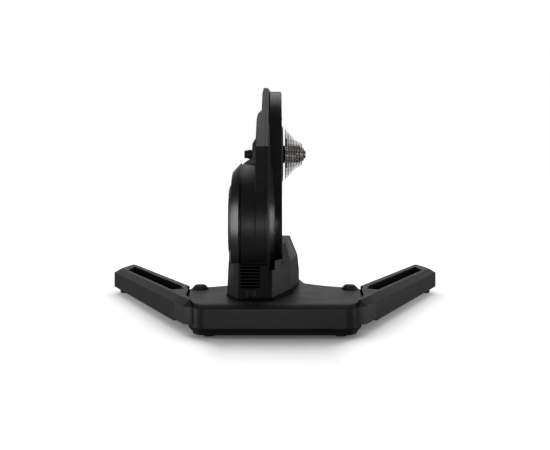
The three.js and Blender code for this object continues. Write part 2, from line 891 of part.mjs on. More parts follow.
function beltCoverBack() {
  const outer = lofted([
    { ring: coverRing(0, coverBackFootRadius), depth: coverBackX },
    { ring: coverRing(0, coverBackFootRadius, coverBackRimRadius), depth: coverSplitX - seatGap },
  ], frameX);
  const inner = lofted([
    {
      ring: coverRing(coverWall, coverBackFootRadius, coverBackFootRadius - coverWall),
      depth: coverBackX + coverBackWall,
    },
    { ring: coverRing(coverWall, coverBackFootRadius, coverBackRimRadius), depth: coverSplitX },
    { ring: coverRing(coverWall, coverBackFootRadius, coverBackRimRadius), depth: coverSplitX + overrun },
  ], frameX);
  return cut(
    outer, inner,
    diskX(coverHub, coverBackX - overrun, coverSplitX, axleY, axleZ, smallSteps),
    diskX(bearingRadius, coverBackX - overrun, coverSplitX, flyY, flyZ, smallSteps),
  );
}

function beltCover() {
  const outer = lofted([
    { ring: coverRing(0, coverFootRadius), depth: coverSplitX },
    { ring: coverRing(0, coverFootRadius), depth: coverFaceX - coverEdge },
    { ring: coverRing(coverEdgeRise, coverFootRadius), depth: coverFaceX - coverEdgeRise },
    { ring: coverRing(coverEdge, coverFootRadius), depth: coverFaceX },
  ], frameX);
  const inner = alongX(
    coverRing(coverWall + coverEdgeRise, coverFootRadius), coverSplitX - overrun, coverFaceX - coverWall);
  return cut(outer, inner, diskX(coverHub, coverSplitX, coverFaceX + overrun, axleY, axleZ, smallSteps));
}

piece('belt_cover_back', beltCoverBack(), 'mouldedBlack');
piece('belt_cover', beltCover(), 'mouldedBlack');
piece('axle_cover_disc', turnedX([
  [discBore, coverFaceX + seatGap], [discRadius, coverFaceX + seatGap], [discFaceRadius, discFaceX],
  [discBore, discFaceX],
], axleY, axleZ), 'mouldedBlack');

// Belt drive
const beltLeftX = beltMiddleX - beltWide / 2;
const beltRightX = beltMiddleX + beltWide / 2;

// A flanged wheel for the belt, from the inner radius of its rim outwards
function flangedRim(inner, radius, y, z, steps) {
  const left = beltLeftX - runGap;
  const right = beltRightX + runGap;
  return turnedX([
    [inner, left - pulleyLip], [radius + pulleyFlange, left - pulleyLip], [radius + pulleyFlange, left],
    [radius, left], [radius, right], [radius + pulleyFlange, right],
    [radius + pulleyFlange, right + pulleyLip], [inner, right + pulleyLip],
  ], y, z, steps);
}

function drivePulley() {
  const rim = ringX(
    driveRadius - driveRim, driveRadius, beltLeftX - runGap, beltRightX + runGap, axleY, axleZ, fineSteps);
  const web = ringX(
    bearingRadius + seatGap, driveRadius - driveRim / 2,
    beltMiddleX - driveWeb / 2, beltMiddleX + driveWeb / 2, axleY, axleZ, midSteps);
  const hub = ringX(
    bearingRadius + seatGap, driveHub, driveHubLeftX, driveHubRightX, axleY, axleZ, midSteps);
  let wheel = join(rim, web, hub);
  for (let i = 0; i < driveHoles; i += 1) {
    const angle = 2 * Math.PI * i / driveHoles;
    wheel = cut(wheel, diskX(
      driveHoleRadius, driveHubLeftX, driveHubRightX,
      axleY + driveHoleShare * driveRadius * Math.cos(angle),
      axleZ + driveHoleShare * driveRadius * Math.sin(angle), windowSteps));
  }
  return wheel;
}

function alongLine(along, across) {
  return [
    flyY + along * Math.cos(lineAngle) + across * Math.sin(lineAngle),
    flyZ + along * Math.sin(lineAngle) - across * Math.cos(lineAngle),
  ];
}

const idlerReach = driveRadius + idlerRadius + idlerStandOff;
const idlerAlong = lineLength - idlerReach * Math.cos(idlerLean);
const idlerAcross = idlerReach * Math.sin(idlerLean);
const [idlerY, idlerZ] = alongLine(idlerAlong, idlerAcross);

// The belt's path: it turns one way over both pulleys and the other way over the idler
const beltWheels = [
  { y: axleY, z: axleZ, radius: driveRadius, turn: 1, steps: 26 },
  { y: flyY, z: flyZ, radius: smallRadius, turn: 1, steps: 8 },
  { y: idlerY, z: idlerZ, radius: idlerRadius, turn: -1, steps: 4 },
];

function beltRun(from, to) {
  const middle = ({ radius, turn }) => turn * (radius + runGap + beltThick / 2);
  const side = middle(to) - middle(from);
  const apart = Math.hypot(to.y - from.y, to.z - from.z);
  return Math.atan2(to.z - from.z, to.y - from.y) - Math.asin(side / apart);
}

function beltLoop(offset) {
  const points = [];
  beltWheels.forEach((wheel, i) => {
    const before = beltWheels.at(i - 1);
    const after = beltWheels[(i + 1) % beltWheels.length];
    const quarter = wheel.turn * Math.PI / 2;
    const start = beltRun(before, wheel) - quarter;
    let end = beltRun(wheel, after) - quarter;
    while ((end - start) * wheel.turn < 0) {
      end += 2 * Math.PI * wheel.turn;
    }
    const radius = wheel.radius + runGap + beltThick / 2 + wheel.turn * offset;
    points.push(...arc(wheel.y, wheel.z, radius, start, end, wheel.steps));
  });
  return points;
}

piece('drive_pulley', drivePulley(), 'alloy');
piece('drive_belt', alongX(
  beltLoop(beltThick / 2), beltLeftX, beltRightX, [beltLoop(-beltThick / 2)]), 'beltRubber');
piece('flywheel_pulley', flangedRim(shaftRadius + seatGap, smallRadius, flyY, flyZ, smallSteps), 'steel');
piece('idler_pulley', ringX(
  idlerBore, idlerRadius, beltLeftX - runGap, beltRightX + runGap, idlerY, idlerZ, smallSteps), 'steel');

function idlerArm() {
  const left = coverBackX + coverBackWall + seatGap;
  const [pivotY, pivotZ] = alongLine(idlerAlong - idlerArmReach, idlerAcross);
  const angle = Math.atan2(idlerZ - pivotZ, idlerY - pivotY);
  const outline = [
    ...arc(idlerY, idlerZ, idlerArmHalf, angle - Math.PI / 2, angle + Math.PI / 2, 6),
    ...arc(pivotY, pivotZ, idlerArmHalf, angle + Math.PI / 2, angle + 3 * Math.PI / 2, 6),
  ];
  return join(
    alongX(outline, left, left + idlerArmThick),
    diskX(idlerBore - runGap, left, beltRightX + runGap, idlerY, idlerZ, tinySteps),
  );
}

piece('idler_arm', idlerArm(), 'darkSteel');

// Axle, its two end caps and the bearings on it
piece('axle', ringX(
  thruRadius, axleRadius, bossEndX + seatGap, adaptorRightX - seatGap, axleY, axleZ, smallSteps), 'steel');
piece('axle_adaptor_left', turnedX([
  [thruRadius, -axleEnd], [adaptorRadius, -axleEnd],
  [adaptorWaist, (bossEndX - axleEnd) / 2], [adaptorRadius, bossEndX - seatGap],
  [thruRadius, bossEndX - seatGap],
], axleY, axleZ, midSteps), 'darkSteel');
piece('axle_adaptor_right', ringX(
  thruRadius, adaptorRightRadius, adaptorRightX, axleEnd, axleY, axleZ, midSteps), 'darkSteel');

function bearing(name, bore, fromX, y, z) {
  piece(name, ringX(bore + seatGap, bearingRadius, fromX, fromX + bearingWide, y, z, smallSteps), 'steel');
}

bearing('hub_bearing_inner', axleRadius, driveHubLeftX, axleY, axleZ);
bearing('hub_bearing_outer', axleRadius, driveHubRightX - bearingWide, axleY, axleZ);
bearing('flywheel_bearing_left', shaftRadius, towerWideX + bearingInset, flyY, flyZ);
bearing('flywheel_bearing_right', shaftRadius, towerRightX - bearingWide - bearingInset, flyY, flyZ);

// Flywheel: a cup whose rim runs round the brake, and a raised face in the guard ring
const flyWebX = flyRimLeftX - flyWall;
piece('flywheel', turnedX([
  [shaftRadius + seatGap, flyHubRightX], [flyHub, flyHubRightX], [flyHub, flyFaceX + flyWall],
  [flyFaceRadius - flyWall, flyFaceX + flyWall], [flyFaceRadius - flyWall, flyRimLeftX],
  [flyRimInner, flyRimLeftX], [flyRimInner, flyRimRightX], [flyRimRadius, flyRimRightX],
  [flyRimRadius, flyRimLeftX], [flyRimRadius - flyWall, flyWebX], [flyFaceRadius, flyWebX],
  [flyFaceRadius, flyFaceX + flyChamfer], [flyFaceRadius - flyChamfer, flyFaceX],
  [shaftRadius + seatGap, flyFaceX],
], flyY, flyZ), 'darkSteel');
piece('flywheel_shaft', diskX(shaftRadius, flyFaceX + seatGap, shaftEndX, flyY, flyZ, smallSteps), 'steel');

// Drum, with a gusset that runs up from it to the tower's side
function drumHousing() {
  const drum = turnedX([
    [drumBore, drumRightX], [drumRadius, drumRightX], [drumRadius, drumLeftX],
    [drumRadius - drumWall, drumLeftX], [drumRadius - drumWall, drumFloorX], [drumBore, drumFloorX],
  ], flyY, flyZ);
  const top = flyZ + drumRadius;
  const gusset = alongY([
    [drumRightX, top - gussetLow], [gussetTipX, top - gussetLow], [gussetTipX, top],
    [gussetTopX, top + gussetRise], [drumRightX, top + gussetRise],
  ], flyY - gussetHalf, flyY + gussetHalf);
  return join(drum, gusset);
}

piece('drum_housing', drumHousing(), 'castBlack');

const grooveRadius = drumRadius - ringGrooveDepth;
piece('guard_ring', turnedX([
  [ringBore, ringFaceX], [ringFaceRadius, ringFaceX], [drumRadius, ringGrooveX], [grooveRadius, ringGrooveX],
  [grooveRadius, drumLeftX - seatGap], [grooveRadius - ringWall, drumLeftX - seatGap],
  [grooveRadius - ringWall, ringGrooveX], [ringFaceRadius - ringWall, ringFaceX + ringWall],
  [ringBore, ringFaceX + ringWall],
], flyY, flyZ), 'glossBlack');

// A closed hole of even steps
function roundHole(y, z, radius, steps) {
  return arc(y, z, radius, 0, 2 * Math.PI * (1 - 1 / steps), steps - 1);
}

// Brake stator: poles round a core, each pole with a wide shoe under the flywheel's rim
function statorOutline() {
  const step = 2 * Math.PI / statorPoles;
  const shoe = step * statorShoeShare / 2;
  const neck = step * statorPoleShare / 2;
  const under = statorRadius - statorShoe;
  const points = [];
  for (let i = 0; i < statorPoles; i += 1) {
    const pole = [
      [statorCore, -neck], [under, -neck], [under, -shoe], [statorRadius, -shoe],
      [statorRadius, shoe], [under, shoe], [under, neck], [statorCore, neck],
    ];
    points.push(...pole.map(([radius, turn]) => [
      flyY + radius * Math.cos(i * step + turn),
      flyZ + radius * Math.sin(i * step + turn),
    ]));
  }
  return points;
}

piece('brake_stator', alongX(
  statorOutline(), statorLeftX, drumFloorX - seatGap, [roundHole(flyY, flyZ, statorBore, midSteps)],
), 'darkSteel');

// Lower housing: a shell round the foot of the tower, open below
function between(low, high, share) {
  return low + (high - low) * share;
}

function housingRing(z, rightX, flareShare) {
  const rise = (z - baseTop) * housingLeanShare;
  const share = (z - baseTop) / (housingTop - baseTop);
  const side = between(housingSideX, housingSideTopX, share);
  return [
    [housingRearLeftX, housingRearLeftY + rise],
    [housingRearRightX, housingRearY + rise],
    [housingFlareX * flareShare, housingFlareY + (z - baseTop) * housingFlareLeanShare],
    [rightX, housingRightY],
    [Math.min(rightX, housingFrontX), housingFrontY],
    [-housingFrontX, housingFrontY],
    [housingWaistX, housingWaistY],
    [side, housingSideFrontY],
    [side, housingSideY],
  ];
}

const housingLevels = [
  { z: housingBottom, rightX: housingRightX, flareShare: 1 },
  { z: housingKnee, rightX: housingRightX, flareShare: 1 },
  { z: housingChest, rightX: housingChestX, flareShare: housingChestX / housingRightX },
  { z: housingTop, rightX: housingTopX, flareShare: housingTopX / housingRightX },
];

// A ring moved inwards by one distance on every edge
function insetRing(ring, distance) {
  return ring.map((point, i) => {
    const [ax, ay] = ring.at(i - 1);
    const [bx, by] = point;
    const [cx, cy] = ring[(i + 1) % ring.length];
    const first = [bx - ax, by - ay].map((value) => value / Math.hypot(bx - ax, by - ay));
    const second = [cx - bx, cy - by].map((value) => value / Math.hypot(cx - bx, cy - by));
    const bend = 1 + first[0] * second[0] + first[1] * second[1];
    return [
      bx - distance * (first[1] + second[1]) / bend,
      by + distance * (first[0] + second[0]) / bend,
    ];
  });
}

function housingShell() {
  const outer = lofted(housingLevels.map(({ z, rightX, flareShare }) => (
    { ring: housingRing(z, rightX, flareShare), depth: z })), frameZ);
  const inner = lofted(housingLevels.map(({ z, rightX, flareShare }, i) => ({
    ring: insetRing(housingRing(z, rightX, flareShare), housingWall),
    depth: z - (i === 0 ? overrun : 0) - (z === housingTop ? housingWall : 0),
  })), frameZ);
  return cut(outer, inner);
}

// Room for the tower, the drum with its guard ring, and the belt cover
function towerRoom() {
  return alongX(towerOutline(seatGap), towerWideX - seatGap, towerRightX + seatGap);
}

function drumRoom() {
  const gap = seatGap;
  return turnedX([
    [0, drumRightX + gap], [drumRadius + gap, drumRightX + gap], [drumRadius + gap, ringGrooveX],
    [ringFaceRadius + gap, ringFaceX - gap], [flyFaceRadius + flyRoom, ringFaceX - gap],
    [flyFaceRadius + flyRoom, ringFaceX - overrun], [0, ringFaceX - overrun],
  ], flyY, flyZ);
}

function coverRoom() {
  const backRight = coverSplitX;
  const right = coverFaceX + seatGap;
  const left = towerRightX;
  return join(
    lofted([
      { ring: coverRing(-seatGap, coverBackFootRadius), depth: left },
      { ring: coverRing(-seatGap, coverBackFootRadius), depth: coverBackX },
      { ring: coverRing(-seatGap, coverBackFootRadius, coverBackRimRadius), depth: backRight },
    ], frameX),
    alongX(coverRing(-seatGap, coverFootRadius), left, right),
    block(left, backRight, flyY - wideOverrun, flyY, flyZ - coverBackFootRadius - seatGap, flyZ),
    block(left, right, flyY - wideOverrun, flyY, flyZ - coverFootRadius - seatGap, flyZ),
  );
}

function panelBox(margin) {
  return block(
    panelLeftX - margin, panelRightX + margin, housingRearY - overrun, housingRearY + panelReach,
    panelBottom - margin, panelTop + margin);
}

function rearPanel(shell) {
  let panel = shell.intersect(panelBox(0));
  for (let i = 0; i < ventCount; i += 1) {
    const z = ventFirst + i * ventPitch;
    panel = cut(panel, block(ventLeftX, ventRightX, housingRearY - overrun, flyY, z, z + ventHigh));
  }
  return cut(panel, block(
    socketX - socketHalfWide - seatGap, socketX + socketHalfWide + seatGap, housingRearY - overrun, flyY,
    socketZ - socketHalfHigh - seatGap, socketZ + socketHalfHigh + seatGap));
}

const openShell = cut(housingShell(), towerRoom(), drumRoom(), coverRoom());
piece('lower_housing', cut(openShell, panelBox(seatGap)), 'mouldedBlack');
piece('rear_panel', rearPanel(openShell), 'mouldedBlack');

function powerSocket() {
  const faceY = housingRearY + socketSetIn;
  const body = block(
    socketX - socketHalfWide, socketX + socketHalfWide, faceY, faceY + socketDeep,
    socketZ - socketHalfHigh, socketZ + socketHalfHigh);
  const recess = alongY(
    roundHole(socketX, socketZ, socketBore, tinySteps), faceY - overrun, faceY + socketRecess,
    [roundHole(socketX, socketZ, socketPin, tinySteps)]);
  return cut(body, recess);
}

piece('power_socket', powerSocket(), 'mouldedBlack');
piece('control_board', block(
  boardLeftX, boardRightX, boardRearY, boardFrontY,
  baseTop + postHigh + seatGap, baseTop + postHigh + seatGap + boardThick), 'board');

// Freehub and cassette
function splinedRing() {
  const points = [];
  const step = 2 * Math.PI / splineCount;
  for (let i = 0; i < splineCount; i += 1) {
    const half = step * splineWideShare / 2;
    points.push(
      [splineInner, i * step - step / 2], [splineInner, i * step - half],
      [splineOuter, i * step - half], [splineOuter, i * step + half], [splineInner, i * step + half],
    );
  }
  return points.map(([radius, angle]) => (
    [axleY + radius * Math.cos(angle), axleZ + radius * Math.sin(angle)]));
}

const freehubBore = axleRadius + runGap;
const sprocketX = (i) => sprocketFirstX + i * sprocketPitch;
const lastSprocketRight = sprocketX(toothCounts.length - 1) + sprocketThick;

piece('freehub_seal', ringX(
  freehubBore, sealRadius, sealLeftX, freehubLeftX - seatGap, axleY, axleZ, midSteps), 'rubber');
piece('freehub_body', alongX(
  splinedRing(), freehubLeftX, lastSprocketRight, [roundHole(axleY, axleZ, freehubBore, smallSteps)],
), 'alloy');

function sprocketOutline(teeth) {
  const points = [];
  const step = 2 * Math.PI / teeth;
  const pitchRadius = chainPitch / 2 / Math.sin(step / 2);
  const root = pitchRadius - rollerRadius;
  const tip = chainPitch / 2 * (toothTipRise + 1 / Math.tan(step / 2));
  const tooth = [
    [root, -toothRootShare], [tip, -toothTipShare], [tip, toothTipShare], [root, toothRootShare],
  ];
  for (let i = 0; i < teeth; i += 1) {
    for (const [radius, turn] of tooth) {
      const angle = (i + turn) * step;
      points.push([axleY + radius * Math.cos(angle), axleZ + radius * Math.sin(angle)]);
    }
  }
  return { points, root };
}

function sprocket(i) {
  const { points, root } = sprocketOutline(toothCounts[i]);
  const bore = i < carrierCount ? carrierOuter + seatGap : splineOuter + splineRoom;
  const left = sprocketX(i);
  const last = i >= toothCounts.length - 2;
  const boreSteps = i < carrierCount ? midSteps : smallSteps;
  let solid = alongX(points, left, left + sprocketThick, [roundHole(axleY, axleZ, bore, boreSteps)]);
  if (last && i < toothCounts.length - 1) {
    solid = join(solid, ringX(
      bore, spacerOuter, left + sprocketThick / 2, sprocketX(i + 1) - seatGap, axleY, axleZ, midSteps));
  }
  const room = root - sprocketRim - bore;
  if (i < carrierCount && room > windowLeast) {
    const radius = room * windowShare / 2;
    const reach = bore + room * windowPlaceShare;
    for (let k = 0; k < windowCount; k += 1) {
      const angle = 2 * Math.PI * (k + i / 2) / windowCount;
      solid = cut(solid, diskX(
        radius, left - overrun, left + overrun,
        axleY + reach * Math.cos(angle), axleZ + reach * Math.sin(angle), windowSteps));
    }
  }
  return solid;
}

toothCounts.forEach((teeth, i) => piece(`sprocket_${teeth}`, sprocket(i), 'nickel'));

piece('cassette_carrier', ringX(
  splineOuter + splineRoom, carrierOuter, sprocketFirstX, sprocketX(carrierCount - 1) + sprocketThick,
  axleY, axleZ, midSteps), 'alloy');
for (let i = carrierCount - 1; i < toothCounts.length - 2; i += 1) {
  piece(`cassette_spacer_${i - carrierCount + 2}`, ringX(
    splineOuter + splineRoom, spacerOuter, sprocketX(i) + sprocketThick + seatGap, sprocketX(i + 1) - seatGap,
    axleY, axleZ, smallSteps), 'darkSteel');
}
piece('cassette_lockring', ringX(
  lockringBore, lockringRadius, lastSprocketRight + seatGap, lastSprocketRight + seatGap + lockringWide,
  axleY, axleZ, midSteps), 'alloy');

export default part;
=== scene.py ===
"""Dresses a direct drive bike trainer over its fixed frame: castings, covers, drum, housing and cassette."""
import json
from math import acos, atan2, cos, hypot, pi, radians, sin, tan

import bmesh
import bpy
from bpy.props import FloatProperty, FloatVectorProperty, IntProperty, PointerProperty
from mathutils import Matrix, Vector
from mathutils.geometry import tessellate_polygon


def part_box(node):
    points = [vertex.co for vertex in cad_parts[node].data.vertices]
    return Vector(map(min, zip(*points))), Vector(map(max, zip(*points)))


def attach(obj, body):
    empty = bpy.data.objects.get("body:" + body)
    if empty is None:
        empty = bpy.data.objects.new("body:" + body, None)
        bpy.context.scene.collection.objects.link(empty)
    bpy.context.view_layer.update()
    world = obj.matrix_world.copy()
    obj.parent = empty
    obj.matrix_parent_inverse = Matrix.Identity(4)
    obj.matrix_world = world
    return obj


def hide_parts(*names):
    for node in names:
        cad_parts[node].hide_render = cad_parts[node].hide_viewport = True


bl_info = {
    "name": "Direct drive bike trainer",
    "version": (1, 0, 0),
    "blender": (4, 5, 0),
    "location": "3D Viewport > Sidebar > Trainer",
    "description": "Dresses the castings, covers, drum, housing and cassette of a bike trainer",
    "category": "Object",
}

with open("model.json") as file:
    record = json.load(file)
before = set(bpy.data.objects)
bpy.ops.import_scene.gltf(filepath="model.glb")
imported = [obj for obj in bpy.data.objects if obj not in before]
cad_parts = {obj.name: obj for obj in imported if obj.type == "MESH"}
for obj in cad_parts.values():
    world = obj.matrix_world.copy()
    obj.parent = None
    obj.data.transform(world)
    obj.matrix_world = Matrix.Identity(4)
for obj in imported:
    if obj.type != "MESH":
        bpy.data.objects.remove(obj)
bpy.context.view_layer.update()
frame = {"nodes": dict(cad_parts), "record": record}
NODES = frame["nodes"]

MM = 0.001
AXLE = Vector((0, 4 * MM, 358 * MM))
FLY = Vector((0, -141 * MM, 205.6 * MM))

GROUPS = {}
MATERIALS = {}


# Sizes and colours

COLOUR = {"subtype": "COLOR", "size": 3, "min": 0, "max": 1}


class TrainerFinishes(bpy.types.PropertyGroup):
    cast_colour: FloatVectorProperty(
        name="Casting colour", description="Powder coat on the base, legs and tower",
        default=(0.0165, 0.0165, 0.017), **COLOUR)
    moulded_colour: FloatVectorProperty(
        name="Moulding colour", description="Grained covers and housings",
        default=(0.0095, 0.0095, 0.01), **COLOUR)
    gloss_colour: FloatVectorProperty(
        name="Guard ring colour", description="Glossy ring round the flywheel",
        default=(0.009, 0.009, 0.0095), **COLOUR)
    rubber_colour: FloatVectorProperty(
        name="Rubber colour", description="Feet, seal and belt", default=(0.012, 0.012, 0.012), **COLOUR)
    nickel_colour: FloatVectorProperty(
        name="Sprocket colour", description="Satin plate on the sprockets", default=(0.84, 0.82, 0.78), **COLOUR)
    steel_colour: FloatVectorProperty(
        name="Steel colour", description="Turned steel of axle, shaft and bearings",
        default=(0.5, 0.5, 0.5), **COLOUR)
    dark_steel_colour: FloatVectorProperty(
        name="Dark steel colour", description="Blackened steel of flywheel, adaptors and spacers",
        default=(0.06, 0.058, 0.056), **COLOUR)
    alloy_colour: FloatVectorProperty(
        name="Alloy colour", description="Machined alloy of pulley, freehub and carrier",
        default=(0.42, 0.42, 0.43), **COLOUR)
    board_colour: FloatVectorProperty(
        name="Board colour", description="Lacquer on the circuit board", default=(0.01, 0.07, 0.035), **COLOUR)
    grain: FloatProperty(
        name="Coat grain", description="Width of one grain of the powder coat",
        default=0.0009, min=0.0002, max=0.005, unit="LENGTH")


class TrainerSizes(bpy.types.PropertyGroup):
    cast_edge: FloatProperty(
        name="Casting edge", description="Radius along the edges of the castings",
        default=0.0022, min=0.0002, max=0.006, unit="LENGTH")
    moulded_edge: FloatProperty(
        name="Moulding edge", description="Radius along the edges of the housing",
        default=0.0012, min=0.0002, max=0.004, unit="LENGTH")
    rounds: IntProperty(
        name="Round steps", description="Steps round a turned piece", default=96, min=24, max=256)


class TrainerStage(bpy.types.PropertyGroup):
    lens: FloatProperty(name="Lens", description="Focal length of the camera", default=42.55, unit="CAMERA")
    height: FloatProperty(name="Camera height", description="Height of the camera", default=0.275, unit="LENGTH")
    distance: FloatProperty(
        name="Camera distance", description="Distance behind the origin", default=1.508, unit="LENGTH")
    top_power: FloatProperty(name="Top light", description="Power of the light overhead", default=14, unit="POWER")
    rear_power: FloatProperty(
        name="Rear light", description="Power of the light by the camera", default=5.5, unit="POWER")
    side_power: FloatProperty(
        name="Side lights", description="Power of the low light at the left; the right one has less",
        default=4.7, unit="POWER")


# Node helpers

MIX_SHARE, MIX_FIRST, MIX_SECOND, MIX_RESULT = 0, 6, 7, 2


def add(tree, kind, inputs=None, **settings):
    """The outputs of a new node with its settings and inputs; a socket given as input is linked."""
    node = tree.nodes.new(kind)
    for key, value in settings.items():
        setattr(node, key, value)
    for key, value in (inputs or {}).items():
        if isinstance(value, bpy.types.NodeSocket):
            tree.links.new(value, node.inputs[key])
        else:
            node.inputs[key].default_value = value
    return node.outputs


SOCKET_KINDS = {
    "Place": "Vector", "Facing": "Vector", "Dark": "Color", "Light": "Color", "Colour": "Color",
    "Geometry": "Geometry", "Piece": "Object", "Seed": "Int", "Finish": "Material"}


def make_group(name, kind, fill, inputs, outputs):
    """A node group with its sockets; fill adds its nodes and returns a result for each output."""
    tree = GROUPS[name] = bpy.data.node_groups.new(name, kind)
    for way, labels in (("INPUT", inputs), ("OUTPUT", outputs)):
        for label in labels:
            socket = "NodeSocket" + SOCKET_KINDS.get(label, "Float")
            tree.interface.new_socket(label, in_out=way, socket_type=socket)
    given, out = tree.nodes.new("NodeGroupInput"), tree.nodes.new("NodeGroupOutput")
    for result, socket in zip(fill(tree, given.outputs), out.inputs):
        tree.links.new(result, socket)


def sums(tree, operation, *values):
    """The result of a sum on values or sockets."""
    return add(tree, "ShaderNodeMath", dict(enumerate(values)), operation=operation)[0]


def ranged(tree, value, start, end, low=0.0, high=1.0, blend="LINEAR"):
    """A value carried over from one range to another."""
    return add(tree, "ShaderNodeMapRange", {
        "Value": value, "From Min": start, "From Max": end, "To Min": low, "To Max": high},
        interpolation_type=blend)[0]


def noise(tree, place, scale, **inputs):
    return add(tree, "ShaderNodeTexNoise", {"Vector": place, "Scale": scale, **inputs})["Fac"]


def blended(tree, share, first, second):
    """One colour passing into another."""
    return add(tree, "ShaderNodeMix", {MIX_SHARE: share, MIX_FIRST: first, MIX_SECOND: second},
               data_type="RGBA")[MIX_RESULT]


# Shader effects that the materials share

def surface_grain(tree, given):
    """Fine grain over a broad mottle: a colour, a roughness and a height."""
    grain = noise(tree, given["Place"], given["Grain Scale"], Detail=2.0, Roughness=0.6)
    mottle = noise(tree, given["Place"], given["Mottle Scale"], Detail=4.0)
    spread = ranged(tree, sums(tree, "MULTIPLY", grain, mottle), 0.12, 0.42)
    rough = ranged(tree, mottle, 0.3, 0.7, given["Smooth"], given["Rough"])
    return blended(tree, spread, given["Dark"], given["Light"]), rough, grain


def edge_wear(tree, given):
    """A mask that is bright along sharp convex edges, broken up by noise."""
    bend = add(tree, "ShaderNodeNewGeometry")["Pointiness"]
    edge = ranged(tree, bend, 0.52, 0.62, 0.0, given["Amount"])
    return [sums(tree, "MULTIPLY", edge, noise(tree, given["Place"], 120.0, Detail=3.0))]


def settled_dust(tree, given):
    """A faint mask on faces that look up, in soft patches."""
    normal = add(tree, "ShaderNodeNewGeometry")["Normal"]
    up = add(tree, "ShaderNodeSeparateXYZ", {0: normal})["Z"]
    top = ranged(tree, up, 0.6, 1.0, 0.0, given["Amount"])
    return [sums(tree, "MULTIPLY", top, noise(tree, given["Place"], 9.0, Detail=5.0))]


def lathe_rings(tree, given):
    """Fine rings round an axis along X, as a lathe leaves them; the place is centred on the axis."""
    split = add(tree, "ShaderNodeSeparateXYZ", {0: given["Place"]})
    flat = add(tree, "ShaderNodeCombineXYZ", {"Y": split["Y"], "Z": split["Z"]})[0]
    radius = add(tree, "ShaderNodeVectorMath", {0: flat}, operation="LENGTH")["Value"]
    turns = sums(tree, "DIVIDE", sums(tree, "ADD", radius, split["X"]), given["Pitch"])
    wave = sums(tree, "SINE", sums(tree, "MULTIPLY", turns, 2 * pi))
    streak = add(tree, "ShaderNodeTexNoise", {"W": turns, "Scale": 0.35, "Detail": 3.0}, noise_dimensions="1D")
    return wave, streak["Fac"]


EFFECTS = (
    (surface_grain, ("Place", "Grain Scale", "Mottle Scale", "Dark", "Light", "Smooth", "Rough"),
     ("Colour", "Roughness", "Height")),
    (edge_wear, ("Place", "Amount"), ("Mask",)),
    (settled_dust, ("Place", "Amount"), ("Mask",)),
    (lathe_rings, ("Place", "Pitch"), ("Height", "Streak")),
)


def make_effects():
    """The shader groups, named after the functions that fill them."""
    for fill, inputs, outputs in EFFECTS:
        make_group(fill.__name__, "ShaderNodeTree", fill, inputs, outputs)


def effect(tree, name, inputs):
    """The outputs of a shared group, set into a material."""
    return add(tree, "ShaderNodeGroup", inputs, node_tree=GROUPS[name])


# Materials

DUST_COLOUR = (0.3, 0.29, 0.28, 1)
WORN_TINT = 3.2
METAL_SPREAD = 0.18


def tint(colour, factor):
    return tuple(min(1.0, c * factor) for c in colour[:3]) + (1.0,)


def new_material(name):
    """A material: its tree, its shader and its object coordinates."""
    material = MATERIALS[name] = bpy.data.materials.new(name)
    material.use_nodes = True
    tree = material.node_tree
    return tree, tree.nodes["Principled BSDF"], add(tree, "ShaderNodeTexCoord")["Object"]


def link_skin(tree, shader, colour, rough, height, bump, distance):
    relief = add(tree, "ShaderNodeBump", {"Strength": bump, "Distance": distance, "Height": height})[0]
    for key, socket in (("Base Color", colour), ("Roughness", rough), ("Normal", relief)):
        tree.links.new(socket, shader.inputs[key])


def grained(tree, place, grain, mottle, dark, light, smooth, rough):
    return effect(tree, "surface_grain", {
        "Place": place, "Grain Scale": grain, "Mottle Scale": mottle, "Dark": dark, "Light": light, "Smooth": smooth,
        "Rough": rough})


def coated(name, colour, grain, smooth, rough, bump, dust, wear, shine, mottle=22.0, spread=0.35):
    """A coated or moulded surface: grain, mottle, pale edges and a little dust."""
    tree, shader, place = new_material(name)
    skin = grained(tree, place, 1 / grain, mottle, tint(colour, 1 - spread), tint(colour, 1 + spread), smooth, rough)
    edge = effect(tree, "edge_wear", {"Place": place, "Amount": wear})["Mask"]
    film = effect(tree, "settled_dust", {"Place": place, "Amount": dust})["Mask"]
    worn = blended(tree, edge, skin["Colour"], tint(colour, WORN_TINT))
    dusty = blended(tree, film, worn, DUST_COLOUR)
    link_skin(tree, shader, dusty, skin["Roughness"], skin["Height"], bump, 0.2 * MM)
    shader.inputs["Specular IOR Level"].default_value = shine


def turned(name, colour, smooth, rough, centre, pitch=0.4 * MM, stain=None, metallic=1.0):
    """Bare metal with lathe rings round an axis along X."""
    tree, shader, place = new_material(name)
    centred = add(tree, "ShaderNodeMapping", {"Vector": place, "Location": tuple(-centre)})[0]
    rings = effect(tree, "lathe_rings", {"Place": centred, "Pitch": pitch})
    dark, light = tint(stain or colour, 1 - METAL_SPREAD), tint(colour, 1 + METAL_SPREAD)
    skin = grained(tree, place, 700, 40, dark, light, smooth, rough)
    shade = ranged(tree, rings["Streak"], 0.0, 1.0, 0.82, 1.12)
    shaded = add(tree, "ShaderNodeVectorMath", {0: skin["Colour"], "Scale": shade}, operation="SCALE")[0]
    link_skin(tree, shader, shaded, skin["Roughness"], rings["Height"], 0.06, 0.1 * MM)
    shader.inputs["Metallic"].default_value = metallic


